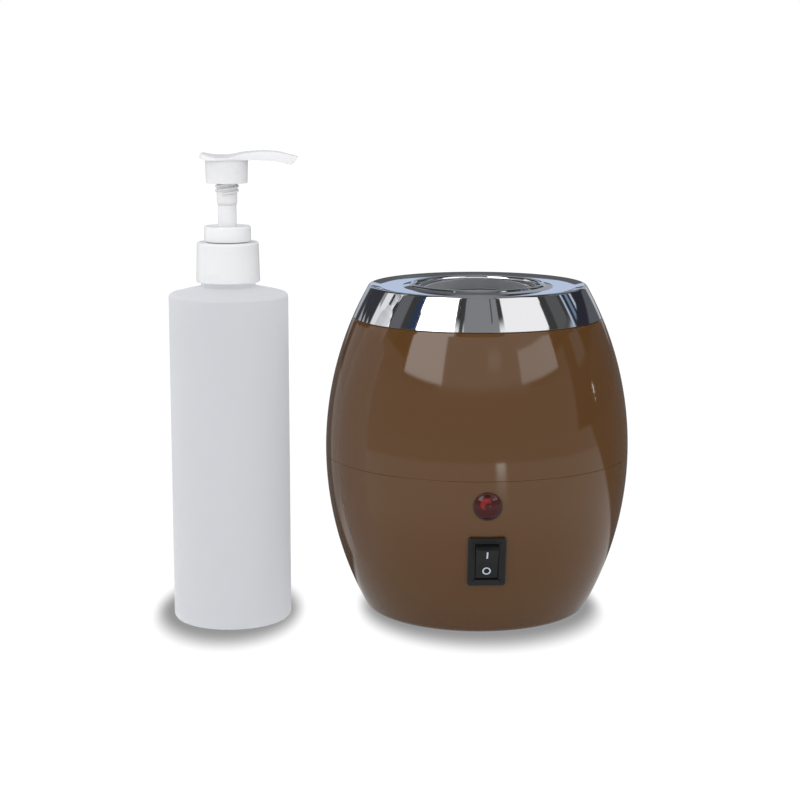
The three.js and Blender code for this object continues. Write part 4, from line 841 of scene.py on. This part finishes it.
def addStem(settings):
    radius, bore, top, tail, tailFoot = pick(settings, "radius bore top tail tailFoot")
    flange, flangeTop, under = pick(settings, "flange flangeTop flangeUnder")
    spigot, spigotTop = pick(settings, "spigot spigotTop")
    corners = [(bore, tailFoot), (tail, tailFoot), (tail, under), (flange, under), (flange, flangeTop),
               (radius, flangeTop), (radius, top, 0.2), (spigot, top), (spigot, spigotTop, 0.3),
               (bore, spigotTop)]
    stem = turnPiece("pumpStem", roundCorners(corners, 4), bottleAxis, settings["sides"])
    finishPiece(stem, "white_plastic", "stem", ["pump_stem"])


def clearSelection(piece):
    endEdit()
    for items in (piece.data.polygons, piece.data.edges, piece.data.vertices):
        for item in items:
            item.select = False


def pickVertices(piece, test):
    clearSelection(piece)
    for vertex in piece.data.vertices:
        vertex.select = test(vertex.co)
    editBy("VERT")


# Rounds the edges where a face that looks up or down meets a face that looks sideways
def roundRim(piece, up, width, segments, capLift=0.6, wallLift=0.5):
    clearSelection(piece)
    kinds = {}
    for face in piece.data.polygons:
        lift = face.normal.z * up
        kind = "cap" if lift > capLift else "wall" if abs(lift) < wallLift else "other"
        for key in face.edge_keys:
            kinds.setdefault(key, []).append(kind)
    for edge in piece.data.edges:
        edge.select = sorted(kinds[tuple(sorted(edge.vertices))]) == ["cap", "wall"]
    editBy("EDGE")
    bpy.ops.mesh.bevel(offset=width * mm, segments=segments, affect="EDGES", clamp_overlap=True)


def addSaddle(settings):
    saddle = drawOutline("saddle", roundCorners(settings["sideView"], 4))
    keepOnly(saddle)
    # pulled out to one side, its crown falling away
    back, front = [end * mm for end in settings["crownEnds"]]
    crownLow, backLow, frontLow = [low * mm for low in settings["crownLows"]]
    slack = settings["slack"]
    before = 0
    for reach in settings["reaches"]:
        bpy.ops.object.mode_set(mode="EDIT")
        pull(0, reach - before, 0)
        fall = (reach ** 2 - before ** 2) / (2 * settings["crownRadius"])
        pickVertices(saddle, lambda place: place.y > (reach - slack) * mm and place.z > (
            crownLow if back < place.x < front else backLow if place.x < 0 else frontLow))
        shift(0, 0, -fall)
        pickVertices(saddle, lambda place: place.y > (reach - slack) * mm)
        before = reach
    pickVertices(saddle, lambda place: place.y < slack * mm)
    bpy.ops.mesh.delete(type="ONLY_FACE")
    endEdit()
    applyModifier(saddle, "MIRROR", use_axis=(False, True, False), merge_threshold=weldReach)
    startEdit(saddle)
    faceOut()

    near = settings["plan"]
    far = [(corner[0], -corner[1], *corner[2:]) for corner in reversed(near)]
    plan = drawOutline("saddlePlan", roundCorners(near + far, 5))
    startEdit(plan)
    pull(0, settings["planRise"], 0)
    faceOut()
    plan.rotation_euler = (math.pi / 2, 0, 0)
    plan.location = (0, 0, settings["planFoot"] * mm)
    settle()
    cutWith(saddle, plan, "INTERSECT")

    startEdit(saddle)
    bpy.ops.mesh.remove_doubles(threshold=0.01 * mm)
    roundRim(saddle, 1, settings["edgeRound"], 4)
    roundRim(saddle, -1, settings["underRound"], 2)
    endEdit()
    deselectAll()
    radius, length, place, tilt = settings["channel"]
    bpy.ops.mesh.primitive_cylinder_add(
        vertices=32, radius=radius * mm, depth=length * mm, location=[value * mm for value in place],
        rotation=(0, math.radians(tilt), 0))
    cutWith(saddle, bpy.context.object, "DIFFERENCE")
    return saddle


def addThread(settings, angle):
    deselectAll()
    reach, turns, lead = pick(settings, "threadReach threadTurns threadLead")
    climb = lead * turns
    bpy.ops.mesh.primitive_circle_add(
        vertices=10, radius=reach * mm, fill_type="NOTHING", rotation=(math.pi / 2, 0, 0),
        location=((settings["threadOuter"] - reach) * mm, 0, (settings["threadTop"] - climb) * mm))
    thread = bpy.context.object
    settle()
    sweep = 360 * turns
    applyModifier(thread, "SCREW", axis="Z", angle=math.radians(sweep), screw_offset=climb * mm,
                  steps=80, render_steps=80, use_merge_vertices=True, merge_threshold=0.001 * mm)
    startEdit(thread)
    bpy.ops.mesh.fill_holes(sides=12)
    faceOut()
    thread.rotation_euler = (0, 0, math.radians(angle - sweep))
    settle()
    return thread


def addHead(settings):
    stubFoot, stub, taper, socket, wall = pick(settings, "stubFoot stub stubTaper socket skirtWall")
    foot, top, low, high = pick(settings, "skirtFoot skirtTop skirtLow skirtHigh")
    roof, hubTop = top - wall, top + settings["hubRise"]
    corners = [(socket, stubFoot), (stub - taper[0], stubFoot, 0.1), (stub, stubFoot + taper[1], 0.4),
               (stub, roof, 0.3), (high - wall, roof), (low - wall, foot, 0.2), (low, foot, 0.35),
               (high, top, 0.15), (settings["hub"], hubTop), (socket, hubTop)]
    core = turnPiece("pumpHead", roundCorners(corners, 5), (0, 0), settings["sides"])
    parts = [addSaddle(settings)]
    for start in range(settings["threadStarts"]):
        parts.append(addThread(settings, settings["threadAngle"] + 360 * start / settings["threadStarts"]))
    keepOnly(core)
    for part in parts:
        part.select_set(True)
    bpy.ops.object.join()
    core.location = (bottleAxis[0] * mm, bottleAxis[1] * mm, 0)
    finishPiece(core, "white_plastic", "head", ["pump_head"])


addStem(stemSettings)
addHead(headSettings)
print("pump stem and head modelled")

# Rocker switch
switchSettings = {
    "height": 34.2, "width": 15, "length": 21, "face": 1, "under": 0.3, "cornerRound": 1.1, "edge": 0.25,
    "rimWidth": 1.9, "rimDrop": 0.35, "rockerGap": 0.3, "pocketDepth": 6, "rockerWidth": 8.9,
    "rockerLength": 15.4, "pivotDepth": 1.5, "turn": 12, "endAngles": (26, -14.3), "rockerMiddle": 2.6,
    "middleRound": 12, "rockerRound": 0.4, "faceSlope": 6.4,
    # the marks on the rocker's face: place up from the pivot and out, then size
    "onPlace": (4.75, 3.13), "onSize": (0.65, 3.6, 0.1), "onRound": 0.04,
    "offPlace": (-3.45, 2.98), "offRadius": 1.42, "offLine": 0.28, "offFlat": 0.2,
}


def addSwitchFrame(settings):
    width, length, under, rim, edge = pick(settings, "width length under rimWidth edge")
    deselectAll()
    bpy.ops.mesh.primitive_plane_add(size=1, location=(0, 0, 0))
    bezel = bpy.context.object
    bezel.name = "switchBezel"
    bezel.scale = (width * mm, length * mm, 1)
    bpy.ops.object.transform_apply(location=False, rotation=False, scale=True)
    startEdit(bezel)
    bpy.ops.mesh.bevel(offset=settings["cornerRound"] * mm, affect="VERTICES", segments=5)
    shift(0, 0, -under)
    pull(0, 0, settings["face"] + under - edge)
    bpy.ops.mesh.inset(thickness=edge * mm)
    shift(0, 0, edge)
    bpy.ops.mesh.inset(thickness=(rim - edge) * mm)
    shift(0, 0, -settings["rimDrop"])
    # down to the rocker's opening, by way of a narrow step
    step, gap = 0.05, 2 * settings["rockerGap"]
    bpy.ops.mesh.inset(thickness=step * mm)
    bpy.ops.transform.resize(value=((settings["rockerWidth"] + gap) / (width - 2 * rim - 2 * step),
                                    (settings["rockerLength"] + gap) / (length - 2 * rim - 2 * step), 1))
    pull(0, 0, -settings["pocketDepth"])
    endEdit()
    seatOnSide(bezel, 0, settings["height"])
    finishPiece(bezel, "black_plastic", "warmer", ["switch_frame"])


def seatOnRocker(piece, settings):
    keepOnly(piece)
    piece.rotation_euler = (math.radians(settings["turn"]), 0, 0)
    piece.location = (0, 0, -settings["pivotDepth"] * mm)
    settle()
    seatOnSide(piece, 0, settings["height"])


def addRocker(settings):
    half, width = settings["rockerLength"] / 2, settings["rockerWidth"]
    first, last = [math.radians(angle) for angle in settings["endAngles"]]
    end = arcRun((0, 0), half, first, last, 4)
    outline = end + [(-along, height) for along, height in reversed(end)]
    outline.append((0, settings["rockerMiddle"], settings["middleRound"]))
    rocker = drawOutline("switchRocker", roundCorners(outline, 8))
    startEdit(rocker)
    pull(0, width, 0)
    faceOut()
    rocker.rotation_euler = (0, 0, math.pi / 2)
    rocker.location = (width / 2 * mm, 0, 0)
    settle()
    applyModifier(rocker, "BEVEL", width=settings["rockerRound"] * mm, segments=3, limit_method="ANGLE",
                  angle_limit=sharpAngle)
    seatOnRocker(rocker, settings)
    finishPiece(rocker, "black_plastic", "rocker", ["switch_rocker"])


def finishMark(name, mark, slope, settings):
    mark.name = name
    mark.rotation_euler = (math.radians(slope), 0, 0)
    settle()
    if name == "markOn":
        applyModifier(mark, "BEVEL", width=settings["onRound"] * mm, segments=2)
    seatOnRocker(mark, settings)
    finishPiece(mark, "white_plastic", "rocker", finish="mark_paint")


def addMarks(settings):
    (onUp, onOut), (offUp, offOut) = settings["onPlace"], settings["offPlace"]
    deselectAll()
    bpy.ops.mesh.primitive_cube_add(size=1, location=(0, onUp * mm, onOut * mm))
    bar = bpy.context.object
    bar.scale = [size * mm for size in settings["onSize"]]
    finishMark("markOn", bar, settings["faceSlope"], settings)
    deselectAll()
    bpy.ops.mesh.primitive_torus_add(
        major_radius=settings["offRadius"] * mm, minor_radius=settings["offLine"] * mm, major_segments=48,
        minor_segments=10, location=(0, offUp * mm, offOut * mm))
    loop = bpy.context.object
    loop.scale = (1, 1, settings["offFlat"])
    finishMark("markOff", loop, -settings["faceSlope"], settings)


addSwitchFrame(switchSettings)
addRocker(switchSettings)
addMarks(switchSettings)
print("switch modelled")

# Cord gland
glandSettings = {"azimuth": 107, "height": 24.5, "flange": 6, "flangeHeight": 1.2, "flangeUnder": -0.3,
                 "barrel": 4.3, "bore": 2.6, "barrelLength": 13, "sides": 64}


def addGland(settings):
    bore, barrel, flange, top, under = pick(settings, "bore barrel flange flangeHeight flangeUnder")
    end = -settings["barrelLength"]
    corners = [(bore, end), (barrel, end), (barrel, under), (flange, under), (flange, top, 0.5),
               (bore, top, 0.5)]
    gland = turnPiece("cordGland", roundCorners(corners, 5), (0, 0), settings["sides"])
    seatOnSide(gland, settings["azimuth"], settings["height"])
    finishPiece(gland, "black_plastic", "warmer", ["cord_gland"])


addGland(glandSettings)
print("gland seated")

floorSettings = {
    "size": 9000,
    "tone": 0.90,
    # as the camera sees it: a soft oval shadow under each set, which fades as its piece is lifted
    "openTone": 1.01,
    "shadowTone": 0.575,
    "shadowSquash": 0.275,
    "shadowSoft": 4.6,
    "shadowLift": 25,
    # the piece that casts each, its axis, how far it lies to the right and behind, half its width and depth
    "shadows": [("lowerShell", warmerAxis, (1.6, 0), (48.8, 58.5)),
                ("bottle", bottleAxis, (-1.8, 8.5), (28.6, 48.5))],
    # as polished pieces mirror it: paper up to this reach and dimmer past it
    "paper": 0.76,
    "beyond": 0.50,
    "paperReach": (650, 669.5),
    # bright to the left of the first azimuths, less so past the second
    "left": 0.95,
    "leftTurns": (-100, -101.5),
    "farLeft": 0.42,
    "farLeftTurns": (-110, -127),
    # dark behind: ends along the depth and across the width, and on the left also along a slant
    "rear": 0.12,
    "rightDepths": (45, 60),
    "rightWidths": (0, 10),
    "leftDepths": (20, 30),
    "leftWidths": (0, -10),
    "slant": 1.79,
    "slantReach": (-140, -120),
    # a bright streak between these azimuths, from this reach to the paper's edge
    "streak": 3.2,
    "streakStart": (8, 11.5),
    "streakEnd": (17.5, 14.5),
    "streakReach": 150,
    # dimmer close to the body: painted shade of the body on the floor, as polished pieces mirror it
    "near": 0.66,
    "shadeReach": (50, 200),
}


def castShadows(tree, settings):
    light = 1
    for name, axis, offset, halves in settings["shadows"]:
        spot = tree.nodes.new("ShaderNodeTexCoord")
        spot.object = bpy.data.objects[name]
        place = separate(tree, spot.outputs["Object"])
        side, front = [minus(tree, place[label], (axis[index] + offset[index]) * mm)
                       for index, label in enumerate("XY")]
        squash = settings["shadowSquash"]
        spans = ((side, halves[0]), (times(tree, front, squash), halves[1] * squash))
        oval, slope = [lengthOf(tree, *[divide(tree, span, half ** power * mm) for span, half in spans])
                       for power in (1, 2)]
        gap = divide(tree, times(tree, oval, minus(tree, oval, 1)), larger(tree, slope, 0.001))
        clear = ramp(tree, gap, (-settings["shadowSoft"], settings["shadowSoft"]))
        lifted = ramp(tree, mathNode(tree, "ABSOLUTE", place["Z"]), (0, settings["shadowLift"]), mm)
        light = times(tree, larger(tree, clear, lifted), light)
    # the tones are as seen on a screen
    tone = blend(tree, light, settings["shadowTone"], settings["openTone"])
    return mathNode(tree, "POWER", tone, 2.2)


def mirroredTone(tree, settings):
    place = separate(tree, ownPlace(tree))
    across, along = [minus(tree, place[label], warmerAxis[index] * mm) for index, label in enumerate("XY")]
    away = lengthOf(tree, across, along)
    turn = azimuthOf(tree, across, along)

    def share(value, ends, unit=mm):
        return ramp(tree, value, settings[ends], unit)

    seen = blend(tree, share(away, "paperReach"), settings["paper"], settings["beyond"])
    leftTone = blend(tree, share(turn, "farLeftTurns", 1), settings["left"], settings["farLeft"])
    seen = blend(tree, share(turn, "leftTurns", 1), seen, leftTone)
    slant = plus(tree, along, times(tree, across, settings["slant"]))
    leftRear = times(tree, share(slant, "slantReach"), share(across, "leftWidths"), share(along, "leftDepths"))
    rightRear = times(tree, share(along, "rightDepths"), share(across, "rightWidths"))
    seen = blend(tree, larger(tree, rightRear, leftRear), seen, settings["rear"])
    nearEdge, farEdge = settings["paperReach"]
    core = times(tree, share(turn, "streakStart", 1), share(turn, "streakEnd", 1),
                 ramp(tree, away, (settings["streakReach"], nearEdge), mm),
                 ramp(tree, away, (farEdge, nearEdge), mm))
    seen = plus(tree, seen, times(tree, core, settings["streak"]))
    # painted shade of the body: the mirrored floor is dimmer close to it
    return times(tree, seen, blend(tree, share(away, "shadeReach"), settings["near"], 1))


def addFloor(settings):
    bpy.ops.mesh.primitive_plane_add(size=settings["size"] * mm, location=(0, 0, 0))
    floor = bpy.context.object
    floor.name = "floor"
    material = bpy.data.materials.new("floorPaper")
    material.use_nodes = True
    tree = material.node_tree
    direct, glossy = rayKinds(tree)
    other = minus(tree, 1, larger(tree, direct, glossy))
    glow = plus(tree, times(tree, castShadows(tree, settings), direct),
                times(tree, mirroredTone(tree, settings), glossy))
    for label, value in (("Base Color", times(tree, other, settings["tone"])), ("Roughness", 0.9),
                         ("Specular IOR Level", 0.1), ("Emission Color", (1, 1, 1, 1)),
                         ("Emission Strength", glow)):
        plug(tree, value, tree.nodes["Principled BSDF"].inputs[label])
    floor.data.materials.append(material)


addFloor(floorSettings)
print("floor laid")
